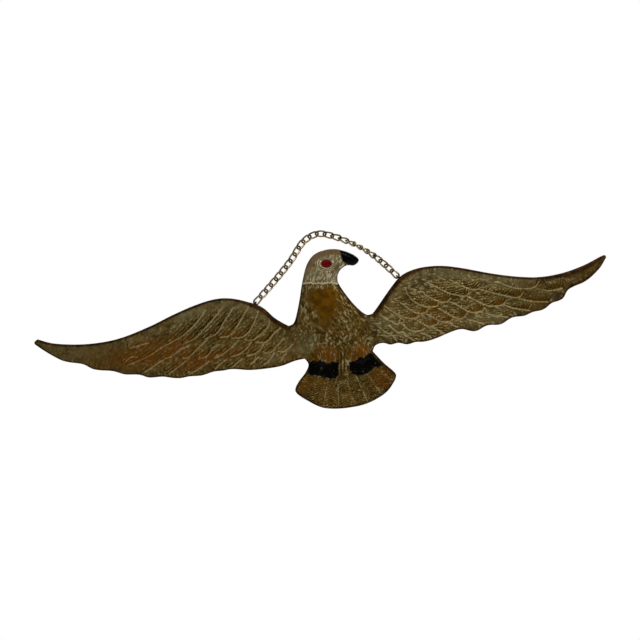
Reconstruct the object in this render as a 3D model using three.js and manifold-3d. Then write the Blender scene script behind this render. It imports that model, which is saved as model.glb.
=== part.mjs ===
// Eagle wall plaque: a relief casting of a flying eagle, painted in places, hung from a curb chain.
// Millimetres. X runs along the wings to the viewer's right, Z is up and the relief faces -Y.
// The origin is under the chain's middle link, where the chain bears on a wall hook.
import * as THREE from 'three'
import { mergeVertices } from 'three/addons/utils/BufferGeometryUtils.js'
import Module from 'manifold-3d'

// Casting: depths are measured forward from its flat back.
const BACK_Y = -1.5
const EDGE_WALL = 1.6
const PLATE = 3.2
const ROOT_SINK = 0.5
const EDGE_BEVEL = 1.3
const SHOULDER_BEVEL = 4.2
const TIP_BEVEL = 3.4
const OUTLINE_TOLERANCE = 0.22
const CURVE_STEPS = 8
const SHARPEST_CORNER = 0.6

// Chain: curb links of round wire, twisted so that neighbours cross at nearly a right angle.
const WIRE = 1.95
const LINK_WIDTH = 7.8
const LINK_GAP = 1.2
const LINKS = 24
const LINK_TWIST = 50
const LUG_TWIST = 0
const ROLL_PEAK = 70
const ROLL_MIDDLE = 17.2
const ROLL_SPREAD = 3
const LINK_STEPS = 12
const LINK_SIDES = 5

// Lugs: eyes that stand on edge on the back, each just past the wing's edge.
const LUG_RADIUS = 3.1
const LUG_HOLE = 1.95
const LUG_THICK = 1.6
const LUG_ARM = 9
const LUG_ARM_BACK = 1.2
const LUG_ARM_SINK = 0.8
const LUG_TO_LINK = 5.7

// Outline, clockwise from the root of the left wing, as points of smooth curves.
const LEFT_WING_TOP = [
  [-45.5, -87.5], [-58, -77.5], [-69.5, -64], [-80.5, -57.5], [-95.5, -51], [-112, -47.5], [-132.5, -49],
  [-161.5, -56], [-194, -66], [-227.5, -73], [-260.5, -73], [-292, -67.5], [-310, -60],
]
const LEFT_FLIGHT_EDGE = [
  [-310, -60], [-314, -64], [-304.5, -73], [-287.5, -86.5], [-267, -93.5], [-255.5, -101], [-236, -106],
  [-225, -111], [-209.5, -114], [-199.5, -118.5], [-184.5, -120], [-170, -124], [-157.5, -124], [-144.5, -125],
  [-130.5, -123], [-120, -123.5], [-111, -123.5], [-91.5, -127.5], [-62.5, -128.5], [-43, -125], [-34, -124.5],
]
const TAIL_EDGE = [
  [-34, -124.5], [-31, -131], [-35, -138.5], [-46, -150], [-48.5, -158.5], [-36.5, -170], [-22.5, -179],
  [-5, -182.5], [12.5, -183], [28.5, -180.5], [46, -173], [56, -162.5], [58.5, -155], [48.5, -142.5], [38.5, -128],
]
const RIGHT_FLIGHT_EDGE = [
  [38.5, -128], [42, -122.5], [50, -121], [58, -124], [66.5, -123.5], [75.5, -126.5], [84.5, -125.5],
  [94, -126.5], [104, -125.5], [118.5, -122], [134, -119.5], [148.5, -124], [162.5, -120], [176.5, -121],
  [189.5, -116], [203, -116], [212.5, -113.5], [224, -112.5], [233, -107.5], [245.5, -104.5], [254, -95.5],
  [273.5, -89.5], [289, -79], [298, -68.5],
]
const RIGHT_WING_TOP = [
  [298, -68.5], [295, -65.8], [275, -72.5], [249.5, -77.5], [221, -77.5], [187.5, -70], [159, -60.5],
  [131.5, -51.5], [111, -48.5], [93.5, -49.5], [78.5, -55], [62.5, -70], [44.5, -88.5],
]
const HEAD_EDGE = [
  [44.5, -88.5], [37, -88], [26, -75], [15.5, -55.5], [13.5, -46.5], [17, -38.5], [25, -34], [33.5, -35],
  [39, -30], [33.5, -23], [21.5, -16.5], [8, -14], [-6.5, -17], [-16.5, -27], [-24, -44.5], [-30, -63],
  [-38.5, -84], [-45.5, -87.5],
]

// Feather rows: each feather is its tip and the angle at which it points down and outward.
// Sizes run from the row's first feather to its last.
const FEATHER_ROWS = [
  {
    side: 1, lift: 0, width: [12.7, 13.2], round: [9.5, 15.9], length: [30, 61], bend: [0, 0],
    feathers: [
      [67, -123, 55], [85, -124, 54], [105, -124, 41], [120, -121, 29], [135, -118, 33], [164, -119, 23],
      [191, -115, 21], [214, -112, 15], [234, -106, 15], [255, -94, 11],
    ],
  },
  {
    side: 1, lift: 0.5, width: [11.6, 12.2], round: [9.5, 12.7], length: [25, 42], bend: [3, 3],
    feathers: [
      [66, -110, 51], [96, -112, 47], [114, -107, 42], [131, -106, 33], [144, -103, 37], [163, -103, 39],
      [185, -98, 33], [208, -91, 29],
    ],
  },
  {
    side: 1, lift: 1, width: [11.1, 12.7], round: [12.7, 13.8], length: [36, 46], bend: [4, 4],
    feathers: [
      [92, -99, 39], [104, -93, 41], [116, -87, 40], [132, -87, 42], [150, -82, 37], [171, -81, 31],
      [226, -81, 21],
    ],
  },
  {
    side: -1, lift: 0, width: [9.5, 10.6], round: [10.6, 19.1], length: [22, 52], bend: [0, 0],
    feathers: [
      [-63, -128, 51], [-78, -128, 41], [-93, -126, 37], [-111, -123, 36], [-130, -122, 35], [-157, -124, 33],
      [-182, -120, 29], [-210, -113, 23], [-237, -105, 17],
    ],
  },
  {
    side: -1, lift: 0.5, width: [6.9, 9], round: [14.8, 21.2], length: [25, 36], bend: [0, 0],
    feathers: [
      [-67, -111, 26], [-78, -111, 33], [-99, -111, 31], [-116, -110, 35], [-138, -106, 35], [-161, -106, 35],
      [-185, -104, 31],
    ],
  },
  {
    side: -1, lift: 1, width: [11.1, 11.1], round: [16.9, 25.4], length: [30, 78], bend: [0, 12],
    feathers: [
      [-83, -98, 39], [-96, -94, 46], [-108, -90, 48], [-122, -89, 48], [-140, -86, 48], [-165, -86, 36],
      [-201, -87, 23],
    ],
  },
]
const FEATHER_RIM = 1.5
const FEATHER_TILT = 1
const FEATHER_LAP = 1.5
const FEATHER_ROOT = 0.6
const FEATHER_ROUNDING = [1, 0.5, 0.22, 0.06]
const FEATHER_FOOT = 1.5
const SWELL_FOOT = 2
const RELIEF_FOOT = 0.5
const RELIEF_TOP = 14
const RELIEF_SETBACK = 0.8

// Tail: feathers fan out from a point in the body.
const FAN_CENTRE = [3, -100]
const FAN_STEP = 11.5
const FAN_FIRST = -36
const FAN_COUNT = 8
const FAN_REACH = 82
const FAN_ROOT = 34
const FAN_SINK = 0.4

// Body and head, as slices from the rump to the crown: height, left edge, right edge and rise over the back.
// The slices lean with the collar, where the head stands a step proud of the neck.
const BODY_SLICES = [
  [-137, -4, 18, 4.2], [-131, -20, 30, 6.2], [-122, -31, 36.5, 8], [-110, -37.5, 38, 9.2], [-98, -39, 39, 9.5],
  [-84, -37, 36, 9.3], [-72, -32.5, 27, 8.7], [-60, -28.5, 19, 7.9], [-51, -25.8, 14, 7.3],
  [-49.6, -25.3, 13.6, 8.3], [-40, -22, 15, 8.6], [-32, -18.5, 20.5, 8.7], [-25, -15.5, 22, 8.2],
  [-19, -11.5, 22, 7], [-14.5, -6, 21, 5.2], [-12, 3, 12, 3.4],
]
const SLICE_SLOPE = -0.158
const SLICE_STEPS = 14

// Smaller rounded forms: centre, half-widths across and along, tilt in degrees and rise over the back.
const THIGHS = [
  { at: [-12, -126], half: [15.5, 12], tilt: 10, rise: 8.6 },
  { at: [25, -129], half: [14, 12], tilt: 35, rise: 8.6 },
]
const BEAK = [
  { at: [27, -25.5], half: [11.5, 8], tilt: -28, rise: 6.8 },
  { at: [35, -29.5], half: [6, 4.6], tilt: -55, rise: 6 },
]
const EYE = { at: [4.6, -28.6], half: [10, 7], tilt: -9, rise: 9.5 }

// Leg bands: short blocks across each leg, with a scalloped lower edge.
const LEG_BANDS = [
  { at: [-15, -139.5], width: 28, height: 15, tilt: 10 },
  { at: [29, -141], width: 29, height: 15.5, tilt: 33 },
]
const BAND_RISE = 6.2
const BAND_SCALLOPS = 5
const BAND_SCALLOP_DEPTH = 1.6

// Chain route: the lugs' centres and the points between that its links follow, as [x, y, z].
const LEFT_LUG = [-77.2, 0, -58.6]
const RIGHT_LUG = [77.4, 0, -54.8]
const LEFT_LUG_TURN = -140
const RIGHT_LUG_TURN = -52
const HOOK_TO_WIRE = LINK_WIDTH / 2
const CHAIN_ROUTE = [
  LEFT_LUG, [-53, 0, -38.5], [-33, 0, -20.3], [-15, 0, -1.2], [0, 0, HOOK_TO_WIRE],
  [15, 0, -0.5], [35, 0, -11.2], [54, 0, -26.8], [68, 0, -42.5], RIGHT_LUG,
]

const BRASS = { color: '#6f5118', roughness: 0.42, metalness: 1 }
const CHAIN_BRASS = { color: '#c9b777', roughness: 0.28, metalness: 1 }

const wasm = await Module()
wasm.setup()

const { degToRad, lerp, smoothstep } = THREE.MathUtils

// Turns a closed geometry into a solid that can be joined and cut.
function solidOf(geometry) {
  const bare = geometry.clone()
  bare.deleteAttribute('normal')
  bare.deleteAttribute('uv')
  const merged = mergeVertices(bare, 1e-4)
  return new wasm.Manifold(new wasm.Mesh({
    numProp: 3,
    vertProperties: new Float32Array(merged.attributes.position.array),
    triVerts: new Uint32Array(merged.index.array),
  }))
}

// Turns a solid back into a geometry.
function geometryOf(solid) {
  const { vertProperties, triVerts } = solid.getMesh()
  const geometry = new THREE.BufferGeometry()
  geometry.setAttribute('position', new THREE.BufferAttribute(new Float32Array(vertProperties), 3))
  geometry.setIndex(Array.from(triVerts))
  geometry.computeVertexNormals()
  return geometry
}

function geometryFrom(points, faces) {
  const geometry = new THREE.BufferGeometry()
  geometry.setAttribute('position', new THREE.Float32BufferAttribute(points.flat(), 3))
  geometry.setIndex(faces.flat())
  return geometry
}

// A point of the drawing plane, brought forward from the casting's back by a depth.
function forward([x, z], depth) {
  return [x, BACK_Y - depth, z]
}

// A closed solid between stacked rings of points: each ring is a list of [x, z] with its own depths.
function stack(rings) {
  const count = rings[0].points.length
  const points = rings.flatMap(({ points: ring, depth }) => ring.map((p, i) => forward(p, depth(p, i))))
  const faces = []
  for (let r = 0; r + 1 < rings.length; r++) {
    for (let i = 0; i < count; i++) {
      const j = (i + 1) % count
      const [a, b, c, d] = [r * count + i, r * count + j, (r + 1) * count + j, (r + 1) * count + i]
      faces.push([a, b, c], [a, c, d])
    }
  }
  const caps = rings.map(({ points: ring }) => THREE.ShapeUtils.triangulateShape(
    ring.map(([x, z]) => new THREE.Vector2(x, z)), []))
  const top = (rings.length - 1) * count
  for (const [a, b, c] of caps[0]) faces.push([a, c, b])
  for (const [a, b, c] of caps.at(-1)) faces.push([top + a, top + b, top + c])
  return solidOf(geometryFrom(points, faces))
}

// A slab with one flat side at a depth and a top whose depth is a function of the point.
function slab(points, from, to) {
  return stack([{ points, depth: () => from }, { points, depth: to }])
}

// Drops the points of a curve that lie within a tolerance of the straight line past them.
function thinned(points, tolerance) {
  const [first, last] = [points[0], points.at(-1)]
  const line = new THREE.Line3(new THREE.Vector3(first.x, first.y), new THREE.Vector3(last.x, last.y))
  let worst = 0
  let at = 0
  for (let i = 1; i + 1 < points.length; i++) {
    const p = new THREE.Vector3(points[i].x, points[i].y)
    const far = line.closestPointToPoint(p, true, new THREE.Vector3()).distanceTo(p)
    if (far > worst) [worst, at] = [far, i]
  }
  if (worst <= tolerance) return [first, last]
  return [...thinned(points.slice(0, at + 1), tolerance).slice(0, -1), ...thinned(points.slice(at), tolerance)]
}

// How wide the bevel is at a place on the outline: wide at the shoulders and the right tip's upper edge.
function bevelAt(x, onTop) {
  if (!onTop) return EDGE_BEVEL
  const shoulder = smoothstep(x, -95, -72) * (1 - smoothstep(x, 86, 112))
  const tip = smoothstep(x, 225, 262) * (1 - smoothstep(x, 276, 294))
  return EDGE_BEVEL + (SHOULDER_BEVEL - EDGE_BEVEL) * shoulder + (TIP_BEVEL - EDGE_BEVEL) * tip
}

// The outline as a closed ring of { x, z, bevel }.
function outlineRing() {
  const stretches = [
    [LEFT_WING_TOP, true], [LEFT_FLIGHT_EDGE, false], [TAIL_EDGE, false],
    [RIGHT_FLIGHT_EDGE, false], [RIGHT_WING_TOP, true], [HEAD_EDGE, false],
  ]
  return stretches.flatMap(([knots, onTop]) => {
    const curve = new THREE.SplineCurve(knots.map(([x, z]) => new THREE.Vector2(x, z)))
    const fine = thinned(curve.getPoints(CURVE_STEPS * (knots.length - 1)), OUTLINE_TOLERANCE)
    return fine.slice(0, -1).map(({ x, y }) => ({ x, z: y, bevel: bevelAt(x, onTop) }))
  })
}

// The outline moved inward at each point by a distance.
function inset(ring, distance) {
  return ring.map((p, i) => {
    const before = ring[(i + ring.length - 1) % ring.length]
    const after = ring[(i + 1) % ring.length]
    const a = new THREE.Vector2(p.x - before.x, p.z - before.z).normalize()
    const b = new THREE.Vector2(after.x - p.x, after.z - p.z).normalize()
    const middle = a.clone().add(b).normalize()
    const reach = distance(p) / Math.max(SHARPEST_CORNER, middle.dot(a))
    return [p.x - middle.y * reach, p.z + middle.x * reach]
  })
}

// The bare casting: a flat back, an upright edge and a bevel up to the front.
function plate(ring) {
  const edge = ring.map(({ x, z }) => [x, z])
  return stack([
    { points: edge, depth: () => 0 },
    { points: edge, depth: () => EDGE_WALL },
    { points: inset(ring, p => p.bevel), depth: () => PLATE },
  ])
}

// One wing feather: its lower edge runs straight from the root and rounds up to the tip. Its face leans, so
// that the lower edge and the tip stand proud of the feather beneath and the root sinks into the casting.
function feather([tipX, tipZ, angle], { side, lift, width, round, length, bend }) {
  const rim = FEATHER_RIM + lift + ROOT_SINK
  const place = (back, across) => {
    const turn = degToRad(angle + bend * back / length)
    return {
      at: [
        tipX - side * (back * Math.cos(turn) + across * Math.sin(turn)),
        tipZ + back * Math.sin(turn) - across * Math.cos(turn),
      ],
      depth: PLATE - ROOT_SINK + rim * (1 - back / length) - (1 - across / width) * FEATHER_TILT,
    }
  }
  const rounding = FEATHER_ROUNDING.map(t => place(t * round, width * Math.sqrt(1 - (1 - t) ** 2)))
  const lower = [place(length, width * FEATHER_ROOT), place(length - width / 2, width), ...rounding]
  const edge = [...lower, place(0, 0), place(length, -FEATHER_LAP)]
  if (side < 0) edge.reverse()
  return slab(edge.map(p => p.at), FEATHER_FOOT, (p, i) => edge[i].depth)
}

// All feathers of a row, with sizes that run evenly from its first feather to its last.
function featherRow({ side, lift, width, round, length, bend, feathers }) {
  return feathers.map((place, i) => {
    const share = i / (feathers.length - 1)
    const size = ([first, last]) => lerp(first, last, share)
    return feather(place, {
      side, lift, width: size(width), round: size(round), length: size(length), bend: size(bend),
    })
  })
}

// One tail feather: a wedge from the legs to beyond the tail's edge, high on the side away from the middle.
function tailFeather(angle) {
  const outward = Math.sign(angle) || 1
  const half = FAN_STEP / 2
  const corner = (reach, turn) => {
    const direction = degToRad(angle + outward * turn)
    return {
      at: [FAN_CENTRE[0] + reach * Math.sin(direction), FAN_CENTRE[1] - reach * Math.cos(direction)],
      depth: PLATE + (turn > 0 ? FEATHER_RIM : 0) - (reach === FAN_ROOT ? FAN_SINK : 0),
    }
  }
  const edge = [corner(FAN_ROOT, -half), corner(FAN_REACH, -half), corner(FAN_REACH, half), corner(FAN_ROOT, half)]
  if (outward < 0) edge.reverse()
  return slab(edge.map(p => p.at), FEATHER_FOOT, (p, i) => edge[i].depth)
}

// The body and head: a half-round section over each slice, closed behind inside the casting.
function bodyForm() {
  const heights = BODY_SLICES.map(([height]) => height)
  const edges = new THREE.CubicInterpolant(heights, BODY_SLICES.flatMap(slice => slice.slice(1)), 3)
  const rows = heights.flatMap((height, i) => i ? [(heights[i - 1] + height) / 2, height] : [height])
  const points = rows.flatMap(height => {
    const [left, right, rise] = edges.evaluate(height)
    return Array.from({ length: SLICE_STEPS + 1 }, (_, i) => {
      const turn = Math.PI * i / SLICE_STEPS
      const x = (left + right) / 2 - (right - left) / 2 * Math.cos(turn)
      return forward([x, height + SLICE_SLOPE * x], SWELL_FOOT + (rise - SWELL_FOOT) * Math.sin(turn))
    })
  })
  const faces = []
  const across = SLICE_STEPS + 1
  for (let row = 0; row + 1 < rows.length; row++) {
    for (let i = 0; i < across; i++) {
      const [a, b] = [row * across + i, row * across + (i + 1) % across]
      faces.push([a, b, b + across], [a, b + across, a + across])
    }
  }
  const top = (rows.length - 1) * across
  for (let i = 1; i + 1 < across; i++) faces.push([0, i + 1, i], [top, top + i, top + i + 1])
  return solidOf(geometryFrom(points, faces))
}

// A rounded form that swells out of the casting.
function swell({ at, half, tilt, rise }, around, rings) {
  const geometry = new THREE.SphereGeometry(1, around, rings)
  geometry.scale(half[0], rise - SWELL_FOOT, half[1])
  geometry.rotateY(degToRad(tilt))
  geometry.translate(...forward(at, SWELL_FOOT))
  return solidOf(geometry)
}

// A leg band: straight above, with a row of round scallops below.
function legBand({ at, width, height, tilt }) {
  const steps = 4
  const points = [[-width / 2, height / 2]]
  for (let i = 0; i <= BAND_SCALLOPS * steps; i++) {
    const dip = Math.abs(Math.sin(Math.PI * i / steps)) * BAND_SCALLOP_DEPTH
    points.push([width * (i / (BAND_SCALLOPS * steps) - 0.5), -height / 2 - dip])
  }
  points.push([width / 2, height / 2])
  const turn = degToRad(tilt)
  const placed = points.map(([x, z]) => [
    at[0] + x * Math.cos(turn) - z * Math.sin(turn),
    at[1] + x * Math.sin(turn) + z * Math.cos(turn),
  ])
  return slab(placed, FEATHER_FOOT, () => BAND_RISE)
}

// A lug: an upright plate with a round eye, and an arm that runs down behind the wing and into its back.
function lug([x, y, z], inward) {
  const arm = new THREE.Shape()
  arm.moveTo(LUG_ARM, BACK_Y - LUG_ARM_SINK - y)
  arm.lineTo(LUG_ARM, LUG_ARM_BACK - y)
  arm.absarc(0, 0, LUG_RADIUS, Math.PI / 2, 3 * Math.PI / 2, false)
  arm.closePath()
  const hole = new THREE.Path()
  hole.absarc(0, 0, LUG_HOLE, 0, 2 * Math.PI, true)
  arm.holes.push(hole)
  const geometry = new THREE.ExtrudeGeometry(arm, { depth: LUG_THICK, bevelEnabled: false, curveSegments: 7 })
  geometry.translate(0, 0, -LUG_THICK / 2)
  const turn = degToRad(inward)
  const along = new THREE.Vector3(Math.cos(turn), 0, Math.sin(turn))
  const back = new THREE.Vector3(0, 1, 0)
  geometry.applyMatrix4(new THREE.Matrix4().makeBasis(along, back, along.clone().cross(back)))
  geometry.translate(x, y, z)
  return solidOf(geometry)
}

// The whole casting.
function casting() {
  const ring = outlineRing()
  const relief = [
    ...FEATHER_ROWS.flatMap(featherRow),
    ...Array.from({ length: FAN_COUNT }, (_, i) => tailFeather(FAN_FIRST + i * FAN_STEP)),
    bodyForm(),
    ...THIGHS.map(form => swell(form, 16, 10)),
    ...LEG_BANDS.map(legBand),
    ...BEAK.map(form => swell(form, 14, 10)),
    swell(EYE, 12, 8),
  ]
  const window = slab(inset(ring, p => p.bevel * RELIEF_SETBACK), RELIEF_FOOT, () => RELIEF_TOP)
  const carved = relief.reduce((all, piece) => all.add(piece)).intersect(window)
  const lugs = lug(LEFT_LUG, LEFT_LUG_TURN).add(lug(RIGHT_LUG, RIGHT_LUG_TURN))
  return plate(ring).add(carved).add(lugs)
}

// One chain link about its own centre: a long oval ring of wire along X, twisted from one end to the other.
function link(length, twistFrom, twistTo) {
  const bend = (LINK_WIDTH - WIRE) / 2
  const straight = (length - WIRE) / 2 - bend
  const turns = Array.from({ length: LINK_STEPS / 2 - 1 }, (_, i) => i / (LINK_STEPS / 2 - 2) * Math.PI - Math.PI / 2)
  const half = [...turns.map(t => [straight + bend * Math.cos(t), bend * Math.sin(t)]), [0, bend]]
  const flat = [...half, ...half.map(([x, w]) => [-x, -w])]
  const centres = flat.map(([x, w]) => {
    const twist = degToRad(lerp(twistFrom, twistTo, (x / (straight + bend) + 1) / 2))
    return new THREE.Vector3(x, w * Math.sin(twist), w * Math.cos(twist))
  })
  const points = []
  const faces = []
  centres.forEach((centre, i) => {
    const before = centres[(i + centres.length - 1) % centres.length]
    const after = centres[(i + 1) % centres.length]
    const along = after.clone().sub(before).normalize()
    const out = centre.clone().addScaledVector(along, -centre.dot(along)).normalize()
    const up = along.clone().cross(out)
    for (let k = 0; k < LINK_SIDES; k++) {
      const turn = 2 * Math.PI * (k + 0.5) / LINK_SIDES
      points.push(centre.clone()
        .addScaledVector(out, WIRE / 2 * Math.cos(turn))
        .addScaledVector(up, WIRE / 2 * Math.sin(turn)).toArray())
      const [a, b] = [i * LINK_SIDES + k, i * LINK_SIDES + (k + 1) % LINK_SIDES]
      const [c, d] = [a, b].map(v => (v + LINK_SIDES) % (LINK_SIDES * centres.length))
      faces.push([a, b, d], [a, d, c])
    }
  })
  return geometryFrom(points, faces)
}

// How far the chain is rolled over about its own line at a link: a few links on the right lie on edge.
function rollAt(link) {
  return ROLL_PEAK * Math.exp(-(((link - ROLL_MIDDLE) / ROLL_SPREAD) ** 2))
}

// The chain: links at even steps along the route, each turned to follow it.
function chain() {
  const route = new THREE.CatmullRomCurve3(CHAIN_ROUTE.map(p => new THREE.Vector3(...p)))
  const total = route.getLength()
  const pitch = (total - 2 * LUG_TO_LINK) / (LINKS - 1)
  const length = pitch + 2 * WIRE + LINK_GAP
  return Array.from({ length: LINKS }, (_, i) => {
    const share = (LUG_TO_LINK + i * pitch) / total
    const centre = route.getPointAt(share)
    const along = route.getTangentAt(share)
    const forwardSide = new THREE.Vector3(0, 1, 0).addScaledVector(along, -along.y).normalize()
    const basis = new THREE.Matrix4().makeBasis(along, forwardSide, along.clone().cross(forwardSide))
    let twist = [rollAt(i - 0.5) + LINK_TWIST, rollAt(i + 0.5) - LINK_TWIST]
    if (i === 0) twist = [LUG_TWIST, -LINK_TWIST]
    if (i === LINKS - 1) twist = [LINK_TWIST, LUG_TWIST]
    const mesh = new THREE.Mesh(link(length, ...twist), new THREE.MeshStandardMaterial(CHAIN_BRASS))
    mesh.name = `chain_link_${String(i + 1).padStart(2, '0')}`
    mesh.quaternion.setFromRotationMatrix(basis)
    mesh.position.copy(centre)
    return mesh
  })
}

const plaque = new THREE.Group()
const eagle = new THREE.Mesh(geometryOf(casting()), new THREE.MeshStandardMaterial(BRASS))
eagle.name = 'eagle'
plaque.add(eagle, ...chain())

export default plaque
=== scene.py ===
# %% [markdown]
# # Eagle wall plaque
# The real object is one flat-backed casting in brass: an eagle with spread wings, about 61 cm across, with
# two small eyes cast on its back and a curb chain between them that hangs it on a wall hook. Its head, eye,
# beak and leg bands were painted by hand, and the brass has darkened and worn.
#
# The relief is low and nothing in it is undercut, so the whole front can be one height over the flat back
# for each point of the drawing plane. That is why most of this file works with fields: whole arrays of
# numbers, one for each point of the surface. Sizes of the relief are in millimetres and go to metres when a
# mesh is made.

# %% Load the fixed frame
import math

import bpy
import numpy as np
from mathutils import Matrix, Vector, geometry


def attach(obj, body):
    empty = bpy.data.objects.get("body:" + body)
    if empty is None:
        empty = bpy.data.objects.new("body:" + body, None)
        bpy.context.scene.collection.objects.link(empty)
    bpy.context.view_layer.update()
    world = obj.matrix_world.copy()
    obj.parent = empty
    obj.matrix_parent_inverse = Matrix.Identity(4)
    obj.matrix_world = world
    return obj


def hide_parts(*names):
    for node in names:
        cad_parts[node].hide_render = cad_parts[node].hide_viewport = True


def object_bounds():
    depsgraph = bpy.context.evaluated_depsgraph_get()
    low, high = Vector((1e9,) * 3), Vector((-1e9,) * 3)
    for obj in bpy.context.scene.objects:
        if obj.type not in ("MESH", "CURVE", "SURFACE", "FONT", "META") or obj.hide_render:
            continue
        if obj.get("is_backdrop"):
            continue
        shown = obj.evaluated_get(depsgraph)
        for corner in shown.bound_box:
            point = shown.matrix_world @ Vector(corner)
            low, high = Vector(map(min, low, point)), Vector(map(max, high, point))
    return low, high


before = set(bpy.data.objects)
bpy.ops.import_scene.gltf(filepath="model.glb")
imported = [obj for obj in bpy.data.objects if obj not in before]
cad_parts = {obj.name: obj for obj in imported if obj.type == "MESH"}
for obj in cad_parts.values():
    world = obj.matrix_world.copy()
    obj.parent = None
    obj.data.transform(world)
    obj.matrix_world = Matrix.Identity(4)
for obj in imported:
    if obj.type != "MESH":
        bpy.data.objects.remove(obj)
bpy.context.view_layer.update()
MM = 0.001

# %% [markdown]
# ## Camera, light and floor
# The plaque was photographed straight on and hangs nine degrees off level, so the camera looks along +Y
# through a long lens and is rolled by that angle. Large soft lights stand in for a bright room. The camera
# sees a white room, while the metal reflects a dimmer one, which keeps the dark patina dark. The floor
# glows faintly, so that it stays pale in that dim room.

# %% Camera
LEAN = math.radians(9)
# The middle of the picture on the plaque, and the picture's width there, in metres.
AIM = Vector((-0.01157, -0.003, -0.08658))
FRAME_WIDTH = 0.6774
CAMERA_DISTANCE = 2.4

camera = bpy.data.objects.new("camera", bpy.data.cameras.new("camera"))
camera.data.lens = camera.data.sensor_width * CAMERA_DISTANCE / FRAME_WIDTH
camera.matrix_world = (
    Matrix.Translation(AIM - Vector((0, CAMERA_DISTANCE, 0)))
    @ Matrix.Rotation(math.radians(90), 4, "X")
    @ Matrix.Rotation(-LEAN, 4, "Z")
)
bpy.context.scene.collection.objects.link(camera)
bpy.context.scene.camera = camera
print("lens in mm", round(camera.data.lens))


# %% Lights
def soft_light(name, place, size, power):
    """A square area light at a place, facing the middle of the plaque."""
    light = bpy.data.objects.new(name, bpy.data.lights.new(name, "AREA"))
    light.data.size = size
    light.data.energy = power
    light.location = place
    light.rotation_euler = (AIM - Vector(place)).to_track_quat("-Z", "Y").to_euler()
    bpy.context.scene.collection.objects.link(light)
    return light


soft_light("key_light", (0.3, -1.5, 1.3), 0.5, 15.7)
soft_light("fill_light", (1.2, -1.6, 0.1), 1.0, 2.5)
soft_light("back_light", (0.4, 1.5, 0.9), 1.2, 18)

# %% Room
ROOM_GREY = 0.11

world = bpy.data.worlds.new("room")
world.use_nodes = True
bpy.context.scene.world = world
room = world.node_tree
shown = room.nodes["Background"]
shown.inputs["Strength"].default_value = 1.0
shown.inputs["Color"].default_value = (1, 1, 1, 1)
lit = room.nodes.new("ShaderNodeBackground")
lit.inputs["Color"].default_value = (ROOM_GREY, ROOM_GREY, ROOM_GREY, 1)
path = room.nodes.new("ShaderNodeLightPath")
either = room.nodes.new("ShaderNodeMixShader")
room.links.new(path.outputs["Is Camera Ray"], either.inputs["Fac"])
room.links.new(lit.outputs[0], either.inputs[1])
room.links.new(shown.outputs[0], either.inputs[2])
room.links.new(either.outputs[0], room.nodes["World Output"].inputs["Surface"])
bpy.context.scene.view_settings.view_transform = "Standard"
print("room seen as white, and lit by a grey of", ROOM_GREY)

# %% Floor
FLOOR_LEVEL = -0.62
FLOOR_CORNERS = ((-1.5, -1.4), (1.5, -1.4), (1.5, 0.85), (-1.5, 0.85))
FLOOR_GLOW = 0.2


def new_material(name):
    """A new material, its node tree and its shader."""
    material = bpy.data.materials.new(name)
    material.use_nodes = True
    return material, material.node_tree, material.node_tree.nodes["Principled BSDF"]


floor_mesh = bpy.data.meshes.new("floor")
floor_mesh.from_pydata([(*corner, FLOOR_LEVEL) for corner in FLOOR_CORNERS], [], [(0, 1, 2, 3)])
floor = bpy.data.objects.new("floor", floor_mesh)
bpy.context.scene.collection.objects.link(floor)
pale_floor, _, shader = new_material("pale_floor")
shader.inputs["Base Color"].default_value = (0.9, 0.9, 0.89, 1)
shader.inputs["Roughness"].default_value = 0.7
shader.inputs["Emission Color"].default_value = (1, 1, 1, 1)
shader.inputs["Emission Strength"].default_value = FLOOR_GLOW
floor_mesh.materials.append(pale_floor)
floor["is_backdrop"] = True
print("floor at", FLOOR_LEVEL)

# %% [markdown]
# ## Helpers for fields
# A few small functions do nearly all the shaping. A smooth step blends one form into the next, and a curve
# through points gives an even change from one measured size to the next. A grain field gives the unevenness
# of work done by hand, and strokes and barbs are such grain drawn out along a direction. Each takes whole
# arrays.


# %% Smooth steps and curves
def smooth(t):
    """0 below 0, 1 above 1, and 3t² - 2t³ between."""
    t = np.clip(t, 0.0, 1.0)
    return t * t * (3 - 2 * t)


def between(value, start, full, last_full, end):
    """Rises smoothly from 0 at start to 1 at full, stays there to last_full, and falls to 0 at end."""
    return smooth((value - start) / (full - start)) * smooth((end - value) / (end - last_full))


def hill(t):
    """A rounded hill one unit wide: e to the power of minus t²."""
    return np.exp(-t * t)


def dome(t):
    """A half circle's rise: the root of 1 - (1 - t)², from 0 at t = 0 to 1 at t = 1."""
    t = np.clip(t, 0.0, 1.0)
    return np.sqrt(1 - (1 - t) ** 2)


def hermite(p, q, into, out, t):
    """Cubic from p to q that leaves with slope `into` and arrives with slope `out`, both per unit of t."""
    return (
        (2 * t**3 - 3 * t**2 + 1) * p
        + (t**3 - 2 * t**2 + t) * into
        + (3 * t**2 - 2 * t**3) * q
        + (t**3 - t**2) * out
    )


def through(knots, values, at):
    """A smooth curve through values at knots: a cubic in each gap, its end slopes the means of the gaps'."""
    gap = np.diff(knots)
    slope = np.diff(values, axis=0) / gap[:, None]
    middle = (slope[:-1] * gap[1:, None] + slope[1:] * gap[:-1, None]) / (gap[:-1] + gap[1:])[:, None]
    slopes = np.concatenate([slope[:1], middle, slope[-1:]])
    i = np.clip(np.searchsorted(knots, at) - 1, 0, len(gap) - 1)
    step = gap[i][:, None]
    t = np.clip((at - knots[i])[:, None] / step, 0, 1)
    return hermite(values[i], values[i + 1], slopes[i] * step, slopes[i + 1] * step, t)


print("half way up a smooth step:", smooth(0.5))

# %% Grain, strokes and barbs
GRAIN_TABLE = (61, 67)


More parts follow.
